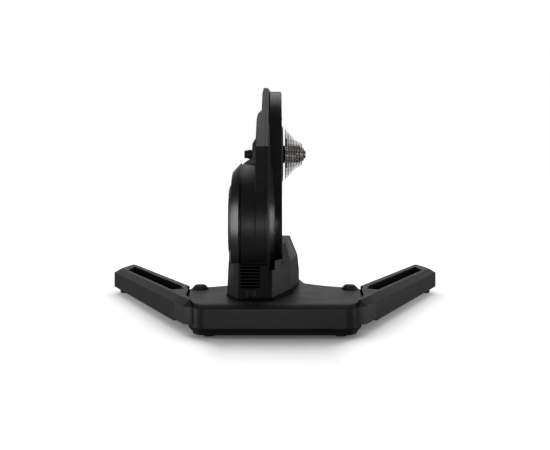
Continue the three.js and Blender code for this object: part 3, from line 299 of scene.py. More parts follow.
def make_materials(looks):
    """The finishes: the record's slots and more blacks for single faces, three of them darker as painted shade."""
    make_effects()
    cast, moulded, rubber, grain = looks.cast_colour, looks.moulded_colour, looks.rubber_colour, looks.grain
    # Each row: name, colour, grain, least and most roughness, bump, dust, wear, shine
    for row in (
            ("cast_black", cast, grain, 0.35, 0.45, 0.3, 0.02, 0.5, 0.42),
            # Painted shade: a darker black for the legs' upright sides
            ("side_black", tint(cast, 0.8), grain, 0.42, 0.54, 0.3, 0.0, 0.5, 0.22),
            # Painted shade: a darker black for the base's rear slope and lowest rim
            ("band_black", tint(cast, 0.4), grain, 0.45, 0.55, 0.3, 0.0, 0.3, 0.2),
            ("moulded_black", moulded, grain * 0.5, 0.38, 0.5, 0.25, 0.02, 0.25, 0.32),
            ("panel_black", tint(moulded, 0.3), grain * 0.5, 0.5, 0.62, 0.25, 0.0, 0.15, 0.22),
            ("satin_black", moulded, grain * 0.5, 0.29, 0.36, 0.1, 0.0, 0.1, 0.5),
            # Painted shade: a near black for the legs' troughs and the strip of painted shadow round the housing's
            # foot
            ("shade_black", tint(moulded, 0.2), grain, 0.7, 0.8, 0.2, 0.0, 0.0, 0.1),
            ("gloss_black", looks.gloss_colour, grain * 2, 0.27, 0.33, 0.02, 0.02, 0.1, 0.5),
            ("foot_rubber", rubber, grain * 0.8, 0.68, 0.85, 0.5, 0.12, 0.1, 0.5),
            ("belt_rubber", rubber, grain, 0.7, 0.85, 0.5, 0.0, 0.2, 0.5),
            ("board", looks.board_colour, grain * 3, 0.25, 0.4, 0.15, 0.05, 0.0, 0.5, 160.0, 0.6)):
        coated(*row)
    turned("nickel", looks.nickel_colour, 0.3, 0.42, AXLE, stain=(0.6, 0.56, 0.5), metallic=0.5)
    turned("steel", looks.steel_colour, 0.24, 0.4, AXLE)
    turned("dark_steel", looks.dark_steel_colour, 0.35, 0.55, FLY)
    turned("alloy", looks.alloy_colour, 0.3, 0.45, AXLE, pitch=0.7 * MM)


def paint(piece, finish):
    """Gives a whole piece one finish."""
    piece.data.materials.clear()
    piece.data.materials.append(MATERIALS[finish])
    for face in piece.data.polygons:
        face.material_index = 0


def dressed(piece, finish, body, *nodes, slot=None):
    """Paints a finished piece and hands it to its body in place of the nodes."""
    paint(piece, finish)
    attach(piece, body)
    if nodes:
        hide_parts(*nodes)


def many_toned(piece, finishes, body, *nodes):
    """Dresses a piece in the first finish; its faces marked 1, 2 and so on take the others."""
    marked = [min(face.material_index, len(finishes) - 1) for face in piece.data.polygons]
    dressed(piece, finishes[0], body, *nodes)
    for finish in finishes[1:]:
        piece.data.materials.append(MATERIALS[finish])
    piece.data.polygons.foreach_set("material_index", marked)


def empty_slots(piece):
    """Room for three finishes, so that marked faces keep their numbers through the bevel."""
    for _ in range(3):
        piece.data.materials.append(None)


# Mesh helpers

def mm(*point):
    """A point given in millimetres, in metres."""
    return tuple(c * MM for c in point)


def new_object(name, data):
    piece = bpy.data.objects.new(name, data)
    bpy.context.scene.collection.objects.link(piece)
    return piece


def mesh_object(name, verts, faces):
    mesh = bpy.data.meshes.new(name)
    mesh.from_pydata([tuple(v) for v in verts], [], faces)
    mesh.update()
    return new_object(name, mesh)


def reworked(piece, edit):
    """Opens the piece's mesh for an edit and writes it back."""
    shell = bmesh.new()
    shell.from_mesh(piece.data)
    edit(shell)
    shell.to_mesh(piece.data)
    shell.free()
    return piece


def applied(piece):
    """The piece with its modifiers baked into a plain mesh."""
    graph = bpy.context.evaluated_depsgraph_get()
    graph.update()
    mesh = bpy.data.meshes.new_from_object(piece.evaluated_get(graph))
    piece.modifiers.clear()
    old = piece.data
    piece.data = mesh
    bpy.data.meshes.remove(old)
    mesh.name = piece.name
    return piece


def rounded(piece, width, segments=3, angle=28):
    """Rounds the edges that turn more than the angle, and shades by area."""
    bevel = piece.modifiers.new("round", "BEVEL")
    bevel.width = width
    bevel.segments = segments
    bevel.angle_limit = radians(angle)
    bevel.miter_outer = "MITER_ARC"
    piece.data.shade_smooth()
    piece.modifiers.new("level", "WEIGHTED_NORMAL").weight = 80
    return applied(piece)


def smooth(piece, angle=32):
    piece.data.shade_smooth()
    piece.data.set_sharp_from_angle(angle=radians(angle))
    return piece


def copy_of(node, name):
    """A merged copy of a frame node, with its flat faces joined up."""
    def merge(shell):
        bmesh.ops.remove_doubles(shell, verts=shell.verts, dist=2e-6)
        bmesh.ops.dissolve_limit(shell, angle_limit=radians(0.6), verts=shell.verts, edges=shell.edges)

    return reworked(new_object(name, NODES[node].data.copy()), merge)


def soft_copy(node, suffix, finish, body, width, segments, angle, slot=None):
    """A frame node's own shape with its edges rounded, in place of the node."""
    piece = rounded(copy_of(node, node + suffix), width * MM, segments, angle)
    dressed(piece, finish, body, node, slot=slot)


def softened(profile, radius, steps=3, closed=True):
    """An outline with every corner rounded by up to the radius."""
    points = [Vector(p) for p in profile]
    out = []
    for i, point in enumerate(points):
        if not closed and i in (0, len(points) - 1):
            out.append(point)
            continue
        before, after = points[i - 1] - point, points[(i + 1) % len(points)] - point
        reach = min(radius, 0.42 * before.length, 0.42 * after.length)
        start, end = point + before.normalized() * reach, point + after.normalized() * reach
        for k in range(steps + 1):
            t = k / steps
            out.append(start * (1 - t) ** 2 + point * 2 * t * (1 - t) + end * t ** 2)
    return out


def soft_loop(points, radius):
    return [tuple(p) for p in softened(points, radius, 2)]


def soft_box(left, right, low, high, radius):
    """A box with rounded corners, as a loop."""
    return soft_loop([(left, low), (right, low), (right, high), (left, high)], radius)


def cleaned(piece):
    """Doubles merged, slivers gone and every face pointing out."""
    def clean(shell):
        bmesh.ops.remove_doubles(shell, verts=shell.verts, dist=1e-7)
        bmesh.ops.dissolve_degenerate(shell, dist=1e-7, edges=shell.edges)
        bmesh.ops.recalc_face_normals(shell, faces=shell.faces)

    return reworked(piece, clean)


def between(low, high, count, steps=None):
    """The faces between two rings of points, which begin at low and at high."""
    return [(low + i, low + (i + 1) % count, high + (i + 1) % count, high + i) for i in range(steps or count)]


def lofted(name, rings, closed=False):
    """A closed shell through rings of equally many points; closed joins the last ring to the first."""
    count = len(rings[0])
    verts = [point for ring in rings for point in ring]
    faces = []
    for k in range(len(rings) if closed else len(rings) - 1):
        faces += between(k * count, (k + 1) % len(rings) * count, count)
    if not closed:
        faces += [tuple(range(count))[::-1], tuple(range(len(verts) - count, len(verts)))]
    return cleaned(mesh_object(name, verts, faces))


def turned_piece(name, profile, centre, steps, upright=False):
    """A closed ring or disc of [radius, depth] points round an axis along X, or along Z when upright."""
    verts, faces = [], []
    count = len(profile)
    solid = profile[0][0] == 0
    for i in range(steps):
        angle = 2 * pi * i / steps
        for radius, depth in profile:
            a, b = radius * MM * cos(angle), radius * MM * sin(angle)
            if upright:
                verts.append((centre[0] + a, centre[1] + b, depth * MM))
            else:
                verts.append((depth * MM, centre[1] + a, centre[2] + b))
        faces += between(i * count, (i + 1) % steps * count, count, count - 1 if solid else count)
    return cleaned(mesh_object(name, verts, faces))


def turned_part(node, finish, body, profile, soft, steps, centre=AXLE, corner=3, upright=False, also=None):
    """A turned piece with soft corners, in place of a node; a second piece may be joined to it."""
    shape = softened(profile, soft, corner, closed=profile[0][0] > 0)
    piece = turned_piece(node + "_round", shape, centre, steps, upright)
    if also:
        piece = joined(node + "_cast", [piece, also])
    dressed(smooth(piece), finish, body, node)


def plate(name, levels, across="X"):
    """A flat plate across X or Y with holes: levels of (depth, loops), the outer loop first in each."""
    sizes = [len(loop) for loop in levels[0][1]]
    total = sum(sizes)
    verts = [mm(d, a, z) if across == "X" else mm(a, d, z) for d, loops in levels for loop in loops for a, z in loop]
    faces = []
    for k in range(len(levels) - 1):
        start = k * total
        for size in sizes:
            faces += between(start, start + total, size)
            start += size
    for k in (0, len(levels) - 1):
        caps = tessellate_polygon([[Vector((a, z, 0)) for a, z in loop] for loop in levels[k][1]])
        faces += [tuple(k * total + i for i in cap) for cap in caps]
    return cleaned(mesh_object(name, verts, faces))


def joined(name, pieces):
    """Several meshes as one object."""
    shell = bmesh.new()
    for piece in pieces:
        shell.from_mesh(piece.data)
        bpy.data.objects.remove(piece)
    mesh = bpy.data.meshes.new(name)
    shell.to_mesh(mesh)
    shell.free()
    return new_object(name, mesh)


def polar(radius, angle, centre=AXLE):
    """A point in millimetres round a centre in metres, seen from the chain side."""
    return (centre.y / MM + radius * cos(angle), centre.z / MM + radius * sin(angle))


def from_axle(y, z):
    return Vector((y - AXLE.y / MM, z - AXLE.z / MM))


def around(count, pattern, start=0.0, centre=AXLE):
    """The points of a pattern of (radius, turn), set count times round a centre."""
    return [polar(radius, start + 2 * pi * i / count + turn, centre)
            for i in range(count) for radius, turn in pattern]


# What repeats: one tree that sets a piece on every point

SCREW_STEPS = 18


def set_on_points(tree, given):
    """Sets one piece on every vertex, turned to face a direction and by a random twist, as one mesh."""
    shape = add(tree, "GeometryNodeObjectInfo", {"Object": given["Piece"]})["Geometry"]
    facing = add(tree, "FunctionNodeAlignRotationToVector", {"Vector": given["Facing"]}, axis="Z")[0]
    random = add(tree, "FunctionNodeRandomValue", {"Seed": given["Seed"]}, data_type="FLOAT")[1]
    twist = sums(tree, "MULTIPLY", random, given["Twist"])
    spin = add(tree, "FunctionNodeAxisAngleToRotation", {"Axis": (0, 0, 1), "Angle": twist})[0]
    turn = add(tree, "FunctionNodeRotateRotation", {"Rotation": facing, "Rotate By": spin}, rotation_space="LOCAL")[0]
    placed = add(tree, "GeometryNodeInstanceOnPoints", {
        "Points": given["Geometry"], "Instance": shape, "Rotation": turn})[0]
    real = add(tree, "GeometryNodeRealizeInstances", {"Geometry": placed})[0]
    return add(tree, "GeometryNodeSetMaterial", {"Geometry": real, "Material": given["Finish"]})


def fasteners(name, x, points, shape, finish, body, twist=2.0, seed=7):
    """The shape on every point of a plane at x, facing out: a plain mesh that stands for no node."""
    if "set_on_points" not in GROUPS:
        make_group("set_on_points", "GeometryNodeTree", set_on_points,
                   ("Geometry", "Piece", "Facing", "Twist", "Seed", "Finish"), ("Geometry",))
    bpy.context.scene.collection.objects.unlink(shape)
    piece = mesh_object(name, [mm(x, *point) for point in points], [])
    modifier = piece.modifiers.new("set_on_points", "NODES")
    modifier.node_group = GROUPS["set_on_points"]
    values = {"Piece": shape, "Facing": (1 if x > 0 else -1, 0, 0), "Twist": twist, "Seed": seed,
              "Finish": MATERIALS[finish]}
    for socket in modifier.node_group.interface.items_tree:
        if socket.name in values:
            modifier[socket.identifier] = values[socket.name]
    smooth(applied(piece))
    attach(piece, body)


def screw_shape(head, high, socket, deep):
    """A round screw head with a hexagon socket, standing on z = 0, in millimetres."""
    edge = 0.18 * head

    def ring(z, radius=None):
        """Points round the head, or without a radius round the hexagon."""
        points = []
        for i in range(SCREW_STEPS):
            angle = 2 * pi * i / SCREW_STEPS
            off = angle % (pi / 3) - pi / 6
            reach = radius or socket * cos(pi / 6) / cos(off)
            points.append(mm(reach * cos(angle), reach * sin(angle), z))
        return points

    return lofted("screw_shape", [ring(-0.4, head), ring(high - edge, head), ring(high, head - edge), ring(high),
                                  ring(high - deep)])


def rivet_shape(radius, high):
    """A low domed rivet on z = 0, in millimetres."""
    profile = [(0, -0.2), (radius, -0.2), (radius, high * 0.35), (radius * 0.75, high * 0.8), (0, high)]
    return turned_piece("rivet_shape", profile, (0, 0), 14, upright=True)


# Operators, each followed by what it makes

class TrainerOperator:
    bl_options = {"REGISTER", "UNDO"}


class TRAINER_OT_materials(TrainerOperator, bpy.types.Operator):
    """Makes the finishes and puts one on every frame node"""
    bl_idname = "trainer.materials"
    bl_label = "Finishes"

    def execute(self, context):
        make_materials(context.scene.trainer_finishes)
        for entry in frame["record"]["subparts"]:
            paint(NODES[entry["node"]], entry["material_slot"])
        return {"FINISHED"}


class TRAINER_OT_castings(TrainerOperator, bpy.types.Operator):
    """Rounds the edges of the base, the legs and the two tower castings"""
    bl_idname = "trainer.castings"
    bl_label = "Castings"

    def execute(self, context):
        # The darker leg and base finishes are painted shade on chosen faces
        leg = ("cast_black", "shade_black", "side_black")
        for node, body, finishes, prepare in (
                ("base_crosspiece", "base", ("cast_black", "band_black"), prepare_base),
                ("tower_frame", "base", ("cast_black",), prepare_tower_frame),
                ("tower_left_shell", "base", ("cast_black",), prepare_tower_shell),
                ("leg_left", "leg_left", leg, mark_leg), ("leg_right", "leg_right", leg, mark_leg)):
            piece = copy_of(node, node + "_rounded")
            prepare(piece)
            rounded(piece, context.scene.trainer_sizes.cast_edge)
            many_toned(piece, finishes, body, node)
        return {"FINISHED"}


BASE_REAR_Y = -270 * MM
RIM_HIGH = 11 * MM
RIM_DROP = 1.3 * MM
TOWER_CORNER_Z = 503 * MM
TROUGH_DEPTH = 5 * MM


def prepare_base(piece):
    """Marks the slope above the rear face and the lowest rim for a darker black that is painted shade, and lets the
    rim reach a bit deeper.
    """
    for face in piece.data.polygons:
        slope = face.center.y < BASE_REAR_Y and face.normal.y < -0.25 and 0.2 < face.normal.z < 0.95
        rim = face.center.z < RIM_HIGH and abs(face.normal.z) < 0.5
        if slope or rim:
            face.material_index = 1
    empty_slots(piece)
    for vert in piece.data.vertices:
        if vert.co.z < 9 * MM:
            vert.co.z -= RIM_DROP


def prepare_tower_frame(piece):
    """Widens the chamfer at the rear top corner, cut off below so that it stays a corner."""
    reworked(piece, lambda shell: bmesh.ops.bisect_plane(
        shell, geom=[*shell.verts, *shell.edges, *shell.faces], plane_co=(0, 0, TOWER_CORNER_Z), plane_no=(0, 0, 1)))
    for vert in piece.data.vertices:
        if vert.co.z > TOWER_CORNER_Z + 0.5 * MM:
            if vert.co.x > -12 * MM:
                vert.co.z -= min(4.5 * MM, vert.co.z - TOWER_CORNER_Z - 0.4 * MM)
            elif vert.co.x > -15 * MM:
                vert.co.x -= 2.6 * MM


def prepare_tower_shell(piece):
    """Lowers the outer top edge, for a chamfer on the left too."""
    for vert in piece.data.vertices:
        if vert.co.z > 490 * MM and vert.co.x < -28 * MM:
            vert.co.z -= 9 * MM


def mark_leg(piece):
    """Marks a leg's upright sides for the third finish, a darker black that is painted shade, and the floor and walls
    of its trough for the second, painted shade in the trough.
    """
    def mark(shell):
        top = max(vert.co.z for vert in shell.verts)
        for face in shell.faces:
            if abs(face.normal.z) < 0.3:
                face.material_index = 2
        floors = [face for face in shell.faces
                  if face.normal.z > 0.9 and face.calc_center_median().z < top - TROUGH_DEPTH]
        for face in floors:
            face.material_index = 1
            for wall in (wall for edge in face.edges for wall in edge.link_faces):
                if abs(wall.normal.z) < 0.6 and max(vert.co.z for vert in wall.verts) > top - TROUGH_DEPTH:
                    wall.material_index = 1

    reworked(piece, mark)
    empty_slots(piece)


class TRAINER_OT_feet(TrainerOperator, bpy.types.Operator):
    """Makes the rubber feet, the lock buttons over the hinges and the hinge pins"""
    bl_idname = "trainer.feet"
    bl_label = "Feet and lock buttons"

    def execute(self, context):
        steps = context.scene.trainer_sizes.rounds // 2
        for side in ("left", "right"):
            for node, body in ((f"rear_foot_{side}", "base"), (f"front_foot_{side}", f"leg_{side}")):
                low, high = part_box(node)
                radius, top = (high.x - low.x) / 2 / MM, high.z / MM
                neck = [(radius, 8), (radius * 0.78, 10.5), (radius * 0.76, top)] if top > 12 else [(radius, top)]
                profile = [(0, 1.2), (radius * 0.35, 1.2), (radius * 0.42, 0), (radius - 2, 0), (radius, 2), *neck,
                           (0, top)]
                turned_part(node, "foot_rubber", body, profile, 1.1, steps, (low + high) / 2, upright=True)
            soft_copy(f"leg_lock_button_{side}", "_soft", "moulded_black", f"leg_lock_{side}", 2.0, 4, 12)
            soft_copy(f"hinge_pin_{side}", "_turned", "steel", "base", 0.8, 2, 40)
        return {"FINISHED"}


class TRAINER_OT_covers(TrainerOperator, bpy.types.Operator):
    """Makes the belt cover, the dish behind it and the disc behind the cassette"""
    bl_idname = "trainer.covers"
    bl_label = "Belt covers"

    def execute(self, context):
        steps = context.scene.trainer_sizes.rounds
        dressed(smooth(belt_cover(steps)), "satin_black", "base", "belt_cover", slot="moulded_black")
        soft_copy("belt_cover_back", "_soft", "satin_black", "base", 0.3, 2, 30, slot="moulded_black")
        turned_part("axle_cover_disc", "moulded_black", "base", [
            (22, 14.9), (68, 14.9), (66.5, 16.2), (60, 18.6), (47, 18.6), (46.2, 18.0), (44.8, 18.0), (44, 18.6),
            (22, 18.6)], 1.0, steps)
        line = cover_outline(COVER_SCREW_INSET, 48)
        screws = [line[i] for i in COVER_SCREWS]
        fasteners("belt_cover_screws", COVER_FACE_X - 0.9, screws, screw_shape(3.6, 1.4, 1.7, 1.1), "dark_steel",
                  "base")
        return {"FINISHED"}


COVER_HEAD = 144
COVER_FOOT = 82
COVER_FACE_X = 14.6
COVER_BACK_X = -0.2
COVER_EDGE = 4.0
COVER_WALL = 2.5
COVER_HUB = 24
COVER_SCREW_INSET = 9
COVER_SCREWS = (1, 12, 24, 36, 47, 59, 70)


def cover_outline(inset, steps):
    """Outline round the axle, with half as many steps round the flywheel shaft, as the belt cover has it."""
    def arc(radius, centre, start, sweep, steps):
        return [polar(radius - inset, start + sweep * i / steps, centre) for i in range(steps + 1)]

    up, along = (FLY.z - AXLE.z) / MM, (FLY.y - AXLE.y) / MM
    line = atan2(-up, -along)
    lean = acos((COVER_HEAD - COVER_FOOT) / hypot(up, along))
    return [*arc(COVER_HEAD, AXLE, line - pi + lean, 2 * (pi - lean), steps),
            *arc(COVER_FOOT, FLY, line + pi - lean, 2 * lean, steps // 2)]


def belt_cover(steps):
    """The outer dish: rounded rim, a shallow step round the face and a round opening at the axle."""
    def rim(inset, x):
        return [mm(x, y, z) for y, z in cover_outline(inset, steps)]

    def hub(radius, x):
        away = [from_axle(*point).normalized() * radius for point in cover_outline(0, steps)]
        return [(x * MM, AXLE.y + way.x * MM, AXLE.z + way.y * MM) for way in away]

    face, inside = COVER_FACE_X, COVER_FACE_X - COVER_WALL
    rings = [rim(0, COVER_BACK_X)]
    for degrees in range(15, 91, 15):
        angle = radians(degrees)
        rings.append(rim(COVER_EDGE * (1 - cos(angle)), face - COVER_EDGE + COVER_EDGE * sin(angle)))
    rings += [rim(15, face), rim(15.8, face - 0.7), rim(17, face - 0.7), rim(17.8, face),
              hub(COVER_HUB + 0.6, face), hub(COVER_HUB, face - 0.6), hub(COVER_HUB, inside),
              rim(COVER_EDGE, inside), rim(COVER_EDGE, COVER_BACK_X)]
    return lofted("belt_cover_dish", rings, closed=True)


class TRAINER_OT_drum(TrainerOperator, bpy.types.Operator):
    """Makes the drum, the glossy guard ring, the flywheel and the boss and caps of the axle"""
    bl_idname = "trainer.drum"
    bl_label = "Drum, flywheel and axle ends"

    def execute(self, context):
        steps = context.scene.trainer_sizes.rounds
        for node, finish, body, centre, soft, profile in TURNED_PARTS:
            gusset = drum_gusset() if node == "drum_housing" else None
            turned_part(node, finish, body, profile, soft, steps, centre, 4, also=gusset)
        side = ((129, 385), (123, 310), (84, 262), (48, 180))
        bolts, ring = (around(6, [(radius, 0)], radians(turn), FLY) for radius, turn in ((52, 10), (96.5, 35)))
        for name, x, points, head, finish, body, seed in (
                ("tower_screws", -39.2, side, (4.2, 1.6, 2.1, 1.4), "dark_steel", "base", 5),
                ("flywheel_bolts", -92.5, bolts, (5.2, 1.9, 2.6, 2.2), "steel", "flywheel", 7),
                ("guard_ring_screws", -87.9, ring, (3.0, 0.9, 1.4, 0.9), "dark_steel", "base", 11)):
            fasteners(name, x, points, screw_shape(*head), finish, body, seed=seed)
        return {"FINISHED"}


# Node, finish, body, axis, corner radius and section as (radius, x)
TURNED_PARTS = (
    ("drum_housing", "cast_black", "base", FLY, 1.6, (
        (30, -39.8), (118, -39.8), (118, -37.4), (126, -37.4), (126, -66), (122, -66), (122, -44.4), (30, -44.4))),
    ("guard_ring", "gloss_black", "base", FLY, 2.2, (
        (86, -88), (107, -88), (126, -70.5), (126, -69.9), (123.2, -69.9), (123, -66.3), (120.5, -66.3),
        (120.5, -70), (104.5, -85.5), (86, -85.5))),
    ("flywheel", "dark_steel", "flywheel", FLY, 0.8, (
        (8, -58), (22, -58), (22, -89), (78, -89), (78, -65), (94, -65), (94, -46), (117, -46), (117, -54),
        (116, -55), (117, -56), (117, -65), (112, -70), (83, -70), (83, -89), (78, -94), (72, -94), (71, -93),
        (64, -92.6), (40, -92.6), (34, -93.2), (33, -94), (8, -94))),
    ("axle_boss", "cast_black", "base", AXLE, 1.6, (
        (8.3, -39.8), (41, -39.8), (41, -43), (26, -52.5), (14.5, -52.5), (13.5, -51.6), (8.3, -51.6))),
    ("axle_adaptor_left", "dark_steel", "base", AXLE, 0.7, (
        (6.1, -71), (8.7, -71), (9.2, -68.6), (9.0, -66.2), (10.6, -61.5), (10.9, -57.5), (10.2, -52.8),
        (6.1, -52.8))),
    ("axle_adaptor_right", "steel", "base", AXLE, 0.6, (
        (6.1, 66.5), (9.5, 66.5), (9.5, 69.2), (8.7, 71), (6.1, 71))),
    ("flywheel_shaft", "steel", "flywheel", FLY, 0.8, (
        (0, -93.7), (2.2, -92.6), (4.4, -93.7), (7.7, -93.7), (7.7, 11.4), (0, 11.4))),
)


def drum_gusset():
    """The web that runs up from the drum to the tower's side."""
    outline = [(-40, 329.2), (-63.5, 329.2), (-63.5, 331.8), (-43.2, 345.3), (-40, 345.3)]
    rings = [[(x * MM, FLY.y + side * MM, z * MM) for x, z in outline] for side in (-20, 20)]
    return rounded(lofted("gusset", rings), 1.2 * MM)


class TRAINER_OT_housing(TrainerOperator, bpy.types.Operator):
    """Makes the lower housing, its vented rear panel, a dark strip of painted shadow round its foot, and the power
    inlet
    """
    bl_idname = "trainer.housing"
    bl_label = "Lower housing"

    def execute(self, context):
        shell = copy_of("lower_housing", "lower_housing_shell")
        mark_corner(shell)
        rounded(shell, context.scene.trainer_sizes.moulded_edge, 3, 8)
        whole = joined("lower_housing_soft", [shell, sill(-10.0, -0.3, 108.3, 119.5), sill(-0.3, 13.6, 123.3, 136.5)])
        many_toned(whole, ("moulded_black", "panel_black", "satin_black"), "base", "lower_housing")
        dressed(vented_panel(), "panel_black", "base", "rear_panel", slot="moulded_black")
        # A near black strip round the housing's foot: painted contact shadow
        foot = lofted("housing_foot", [[mm(x, y, SHADOW_STRIP_LOW) for x, y, _ in SHADOW_STRIP], [mm(*point) for point in SHADOW_STRIP]])
        dressed(foot, "shade_black", "base", slot="moulded_black")
        dressed(inlet(), "moulded_black", "base", "power_socket")
        return {"FINISHED"}


# A dark strip of painted shadow round the housing's foot: x, y and top of each corner, and the bottom of all
SHADOW_STRIP = ((-96.5, -83, 66.5), (-97, -208.5, 67.2), (-84.6, -251, 67.2), (-71.8, -269.5, 67.2), (-3.5, -274, 70.0),
        (36, -184, 73.0), (55, -33, 66.5), (20, -20, 66.5))
SHADOW_STRIP_LOW = 63.6
# The left corner's rear wall, and how far along it the dark cover ends
CORNER_WALL = (Vector((-96, -205, 64)) * MM, Vector((-71, -267, 64)) * MM)
CORNER_SEAM = 0.56
# Left, right, low and high of the rear panel
PANEL = (-68.8, -11.6, 67.2, 130.8)
# Seven vents: left, right, low edge of the lowest, pitch and height
VENT_COUNT = 7
VENT = (-65.5, -28.5, 88.0, 6.2, 3.2)
# The inlet's middle, and half the width and height of its window
INLET = (-46.5, 77.0)
INLET_WINDOW = (10.4, 7.4)


def mark_corner(piece):
    """Marks the left corner, where the dark rear cover wraps round it, and the strip beside it."""
    start, end = CORNER_WALL
    along = (end - start).normalized()
    out = Vector((along.y, -along.x, 0))
    seam = along + Vector((0, 0, 0.2))
    middle = start.lerp(end, CORNER_SEAM)

    def wall(shell, right):
        return [face for face in shell.faces
                if face.normal.dot(out) > 0.85 and face.calc_center_median().x < right * MM]

    def mark(shell):
        cut = wall(shell, -75)
        parts = {*cut, *(edge for face in cut for edge in face.edges), *(v for face in cut for v in face.verts)}
        bmesh.ops.bisect_plane(shell, geom=list(parts), plane_co=middle, plane_no=seam)
        for face in wall(shell, -70):
            face.material_index = 1 if (face.calc_center_median() - middle).dot(seam) > 0 else 2

    reworked(piece, mark)
    empty_slots(piece)


def inlet():
    """The round low voltage inlet: a flange with a deep recess, a collar and a pin in it."""
    front, back = (corner.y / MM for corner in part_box("power_socket"))
    floor = front + 8
    x, z = INLET

    def block(wide, tall):
        return soft_box(x - wide, x + wide, z - tall, z + tall, 0.8)

    def ring(radius):
        return [(x + radius * cos(pi * i / 16), z + radius * sin(pi * i / 16)) for i in range(32)]

    flange, body, collar, pin = [block(10, 7), ring(6.0)], [block(10, 7)], [ring(4.9), ring(3.4)], [ring(1.1)]
    parts = (
        ((front, [block(9.5, 6.5), ring(6.4)]), (front + 0.5, flange), (floor, flange)),
        ((floor, body), (back, body)),
        ((front + 1.6, [ring(4.6), ring(3.7)]), (front + 2, collar), (floor, collar)),
        ((front + 1.8, [ring(0.5)]), (front + 2.6, pin), (floor, pin)))
    return smooth(joined("power_socket_round", [plate("inlet", levels, "Y") for levels in parts]))


def sill(left, right, low, high):
    """A strip that carries the pod's leaning rear wall up to the foot of the belt cover, in millimetres."""
    def wall(x, z):
        return -255.3 + 0.356 * (z - 105) + 2.2 * max(0, x + 5)

    across = [left, *(x for x in (-5,) if left < x < right), right]
    rows = ((across, 0), (across[::-1], 4))
    return lofted("sill", [[mm(x, wall(x, z) + deep, z) for row, deep in rows for x in row] for z in (low, high)])


def vented_panel():
    """The rear panel: a frame round the vents, whose lips are bevelled, and the window of the power inlet."""
    front, back = (corner.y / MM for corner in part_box("rear_panel"))
    left, right, base, pitch, tall = VENT
    (x, z), (wide, high) = INLET, INLET_WINDOW
    holes = [(left, right, base + pitch * i, base + pitch * i + tall, 1.2) for i in range(VENT_COUNT)]
    holes.append((x - wide, x + wide, z - high, z + high, 1.0))

    def loops(wider):
        return [soft_box(*PANEL, 1.5), *(soft_box(a - wider, b + wider, c - wider, d + wider, radius)
                                         for a, b, c, d, radius in holes)]

    return smooth(plate("vented_panel", [(front, loops(0.5)), (front + 0.6, loops(0)), (back, loops(0))], "Y"), 25)


class TRAINER_OT_cassette(TrainerOperator, bpy.types.Operator):
    """Makes the sprockets with their teeth and windows, the spider, the spacers and the lockring"""
    bl_idname = "trainer.cassette"
    bl_label = "Cassette"

    def execute(self, context):
        steps = context.scene.trainer_sizes.rounds // 2
        for i, teeth in enumerate(TEETH):
            piece = sprocket(teeth, FIRST_SPROCKET_X + SPROCKET_STEP * i, i)
            dressed(smooth(piece, 25), "nickel", "freehub", f"sprocket_{teeth}")
        for i in range(7):
            node = f"cassette_spacer_{i + 1}"
            low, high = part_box(node)
            turned_part(node, "dark_steel", "freehub", band(19.6, low.x / MM, high.x / MM), 0.3, steps, corner=2)
        dressed(carrier(steps), "alloy", "freehub", "cassette_carrier")
        dressed(lockring(), "alloy", "freehub", "cassette_lockring")
        turned_part("freehub_seal", "foot_rubber", "freehub", [
            (8.5, 16), (20, 16), (21, 17.2), (19.6, 18.2), (19.6, 19.4), (21, 20.4), (20, 22.4), (8.5, 22.4)],
            0.5, steps, corner=2)
        soft_copy("freehub_body", "_splined", "alloy", "freehub", 0.25, 2, 40)
        rivets = around(ARMS, [(34.6, 0)], ARM_START)
        fasteners("carrier_rivets", 27.3, rivets, rivet_shape(2.2, 0.7), "steel", "freehub", twist=0.0)
        return {"FINISHED"}


TEETH = (27, 25, 23, 21, 19, 17, 15, 14, 13, 12, 11)
CHAIN_PITCH = 12.7
ROLLER_SEAT = 3.95
FIRST_SPROCKET_X = 23.4
SPROCKET_STEP = 3.74
SPROCKET_THICK = 1.6
SPLINE_BORE = 17.9
ARMS = 5
ARM_START = radians(18)


def band(outer, left, right):
    """Section of a ring on the freehub's splines."""
    return [(17.7, left), (outer, left), (outer, right), (17.7, right)]


def sprocket(teeth, left, index):
    """One sprocket: roller seats between bevelled teeth, windows with arms between, and a notched bore."""
    step = 2 * pi / teeth
    pitch_radius = CHAIN_PITCH / 2 / sin(step / 2)
    root = pitch_radius - 3.9
    tip = CHAIN_PITCH / 2 * (0.6 + 1 / tan(step / 2))
    outer = []
    for i in range(teeth):
        outer += [polar(tip, (i - 0.11) * step), polar(tip, (i + 0.11) * step)]
        centre = (i + 0.5) * step
        seat = Vector(polar(pitch_radius, centre))
        for turn in (238, 209, 180, 151, 122):
            way = centre + radians(turn)
            outer.append(tuple(seat + Vector((cos(way), sin(way))) * ROLLER_SEAT))
    notch = SPLINE_BORE + 0.9
    holes = [around(9, [(notch, -0.17), (SPLINE_BORE, -0.11), (SPLINE_BORE, 0.11), (notch, 0.17)])]
    inner, reach = 22.0, root - 3.2
    if reach - inner > 4:
        wide, narrow = 0.5 - 2.6 / reach, 0.5 - 2.4 / inner
        for k in range(ARMS):
            middle = 2 * pi * (k + 0.31 * index) / ARMS
            window = [polar(inner, middle + narrow * t) for t in (-1, -0.5, 0, 0.5, 1)]
            window += [polar(reach, middle + wide * t) for t in (1, 0.5, 0, -0.5, -1)]
            holes.append(soft_loop(window, 1.6))
    bevelled = []
    for y, z in outer:
        away = from_axle(y, z)
        pull = away.normalized() * (0.55 if away.length > root + 1.4 else 0.12)
        bevelled.append((y - pull.x, z - pull.y))
    right = left + SPROCKET_THICK
    return plate(f"sprocket_{teeth}_toothed", [
        (left, [bevelled, *holes]), (left + 0.45, [outer, *holes]), (right - 0.45, [outer, *holes]),
        (right, [bevelled, *holes])])


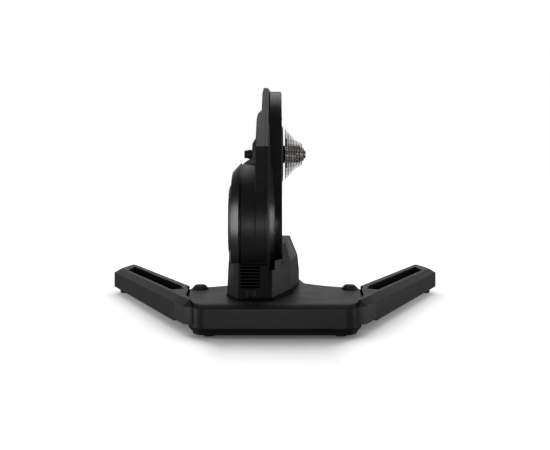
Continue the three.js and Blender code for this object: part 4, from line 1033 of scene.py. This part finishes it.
def carrier(steps):
    """The spider of the three largest sprockets: a hub sleeve and a thin star with five arms."""
    sleeves = [turned_piece("carrier_sleeve", softened(band(19.8, left, right), 0.3, 2), AXLE, steps)
               for left, right in ((25.2, 26.9), (28.9, 30.6))]
    star = around(ARMS, [(20.5, -0.62), (23.0, -0.3), (34.5, -0.115), (37.5, -0.06), (37.5, 0.06), (34.5, 0.115),
                         (23.0, 0.3), (20.5, 0.62)], ARM_START)
    loops = [soft_loop(star, 1.5), around(36, [(19.5, 0)])]
    arms = plate("carrier_star", [(25.35, loops), (27.0, loops)])
    return smooth(joined("carrier_spider", [*sleeves, arms]))


def lockring():
    """The ring that holds the cassette: notched for its tool inside, knurled outside."""
    left = FIRST_SPROCKET_X + SPROCKET_STEP * (len(TEETH) - 1) + SPROCKET_THICK + 0.3
    bore = around(12, [(11.9, -0.14), (11.9, 0.06), (10.6, 0.1), (10.6, 0.34)])
    knurl, narrow = (around(24, [(14.8 * share, 0), (15.2 * share, pi / 24)]) for share in (1, 0.955))
    return smooth(plate("lockring_notched", [
        (left, [knurl, bore]), (left + 2.6, [knurl, bore]), (left + 4.0, [narrow, bore])]), 25)


class TRAINER_OT_stage(TrainerOperator, bpy.types.Operator):
    """Makes the floor, the lights, the surroundings and the camera"""
    bl_idname = "trainer.stage"
    bl_label = "Stage"

    def execute(self, context):
        values = context.scene.trainer_stage
        make_floor()
        make_world(context.scene)
        make_lights(values)
        make_camera(context.scene, values)
        return {"FINISHED"}


FLOOR_HALF = 30.0
GLOSSY_SHARE = 0.06
WHITE = (1, 1, 1, 1)
EASED = "SMOOTHSTEP"


def make_floor():
    """White with a soft contact shade for the camera, dark for the object's light, clear from below."""
    half = FLOOR_HALF
    floor = mesh_object("floor", [(-half, -half, 0), (half, -half, 0), (half, half, 0), (-half, half, 0)],
                        [(0, 1, 2, 3)])
    tree, shader, place = new_material("studio_floor")
    for key, value in (("Roughness", 0.9), ("Specular IOR Level", 0.0), ("Emission Color", WHITE)):
        shader.inputs[key].default_value = value
    rays = add(tree, "ShaderNodeLightPath")
    glossy = sums(tree, "MULTIPLY_ADD", rays["Is Glossy Ray"], GLOSSY_SHARE, rays["Is Camera Ray"])
    direct = sums(tree, "MAXIMUM", glossy, rays["Is Transmission Ray"])
    tree.links.new(ranged(tree, direct, 0.0, 1.0, 0.12, 0.7), shader.inputs["Base Color"])
    far = add(tree, "ShaderNodeVectorMath", {0: place}, operation="LENGTH")["Value"]
    wash = ranged(tree, far, 0.45, 1.2, 0.72, 1.0, EASED)
    near = add(tree, "ShaderNodeAmbientOcclusion", {"Distance": 0.5}, samples=16)["AO"]
    # The photo's shade is darkest under the rear face, so the occlusion there starts later
    split = add(tree, "ShaderNodeSeparateXYZ", {0: place})
    under = ranged(tree, sums(tree, "ABSOLUTE", split["X"]), 0.09, 0.21, 0.8, 0.0, EASED)
    rear = ranged(tree, split["Y"], -0.31, -0.24, 1.0, 0.0, EASED)
    shade = ranged(tree, near, sums(tree, "MULTIPLY", under, rear), 0.985, 0.18, 1.0)
    seen = sums(tree, "MULTIPLY", sums(tree, "POWER", shade, 1.4), wash)
    tree.links.new(sums(tree, "MULTIPLY", direct, seen), shader.inputs["Emission Strength"])
    clear = add(tree, "ShaderNodeBsdfTransparent")[0]
    side = add(tree, "ShaderNodeNewGeometry")["Backfacing"]
    either = add(tree, "ShaderNodeMixShader", {0: side, 1: shader.outputs[0], 2: clear})[0]
    tree.links.new(either, tree.nodes["Material Output"].inputs["Surface"])
    floor.data.materials.append(MATERIALS["studio_floor"])


def make_world(scene):
    """White where the camera sees it; for the object a dark room, paler low down and in front of it."""
    world = scene.world = bpy.data.worlds.new("studio")
    world.use_nodes = True
    tree = world.node_tree
    tree.nodes.clear()
    out = tree.nodes.new("ShaderNodeOutputWorld")
    place = add(tree, "ShaderNodeTexCoord")["Generated"]
    split = add(tree, "ShaderNodeSeparateXYZ", {0: place})
    front = ranged(tree, split["Y"], 0.62, 0.96, 0.05, 0.333, EASED)
    low = ranged(tree, split["Z"], 0.03, 0.13, 3.0, 1.0, EASED)
    glow = sums(tree, "MULTIPLY", front, low)
    rays = add(tree, "ShaderNodeLightPath")
    level = add(tree, "ShaderNodeMix", {0: rays["Is Diffuse Ray"], 2: glow, 3: 0.4})[0]
    room = add(tree, "ShaderNodeBackground", {"Color": WHITE, "Strength": level})[0]
    backdrop = add(tree, "ShaderNodeBackground", {"Color": WHITE})[0]
    direct = sums(tree, "MAXIMUM", rays["Is Camera Ray"], rays["Is Transmission Ray"])
    either = add(tree, "ShaderNodeMixShader", {0: direct, 1: room, 2: backdrop})[0]
    tree.links.new(either, out.inputs["Surface"])


def make_lights(values):
    for name, place, target, size, power in (
            ("overhead", (0.0, 0.95, 2.0), (0, 0, 0.1), (2.4, 1.7), values.top_power),
            ("by_camera", (-0.1, -2.5, 0.2), (0, 0, 0.15), (0.7, 0.4), values.rear_power),
            ("left_box", (-1.2, -0.2, 0.28), (0, -0.2, 0.25), (0.5, 0.55), values.side_power),
            ("right_box", (1.2, 0.05, 0.28), (0, -0.05, 0.25), (0.5, 0.55), values.side_power * 0.74)):
        data = bpy.data.lights.new(name, "AREA")
        data.shape = "RECTANGLE"
        data.size, data.size_y = size
        data.energy = power
        lamp = new_object(name, data)
        lamp.location = place
        lamp.rotation_euler = (Vector(target) - Vector(place)).to_track_quat("-Z", "Y").to_euler()


def make_camera(scene, values):
    data = bpy.data.cameras.new("photo_camera")
    data.sensor_width = 36
    data.lens = values.lens
    data.shift_y = -35 / 550
    data.clip_end = 100
    camera = scene.camera = new_object("photo_camera", data)
    camera.location = (0, -values.distance, values.height)
    camera.rotation_euler = (radians(90), 0, 0)
    scene.view_settings.view_transform = "Standard"


class TRAINER_PT_panel(bpy.types.Panel):
    bl_label = "Bike trainer"
    bl_idname = "TRAINER_PT_panel"
    bl_space_type = "VIEW_3D"
    bl_region_type = "UI"
    bl_category = "Trainer"

    def draw(self, context):
        for values, group in GROUPS_OF_VALUES:
            box = self.layout.box()
            for name in group.__annotations__:
                box.prop(getattr(context.scene, values), name)
        for operator in STEPS:
            self.layout.operator(operator.bl_idname)


STEPS = (TRAINER_OT_materials, TRAINER_OT_castings, TRAINER_OT_feet, TRAINER_OT_covers, TRAINER_OT_drum,
         TRAINER_OT_housing, TRAINER_OT_cassette, TRAINER_OT_stage)
GROUPS_OF_VALUES = (("trainer_finishes", TrainerFinishes), ("trainer_sizes", TrainerSizes),
                    ("trainer_stage", TrainerStage))


def register():
    for name, group in GROUPS_OF_VALUES:
        bpy.utils.register_class(group)
        setattr(bpy.types.Scene, name, PointerProperty(type=group))
    for operator in STEPS:
        bpy.utils.register_class(operator)
    bpy.utils.register_class(TRAINER_PT_panel)


def unregister():
    bpy.utils.unregister_class(TRAINER_PT_panel)
    for operator in reversed(STEPS):
        bpy.utils.unregister_class(operator)
    for name, group in reversed(GROUPS_OF_VALUES):
        delattr(bpy.types.Scene, name)
        bpy.utils.unregister_class(group)


def main():
    register()
    bpy.ops.trainer.materials()
    bpy.ops.trainer.castings()
    bpy.ops.trainer.feet()
    bpy.ops.trainer.covers()
    bpy.ops.trainer.drum()
    bpy.ops.trainer.housing()
    bpy.ops.trainer.cassette()
    bpy.ops.trainer.stage()


if __name__ == "__main__":
    main()
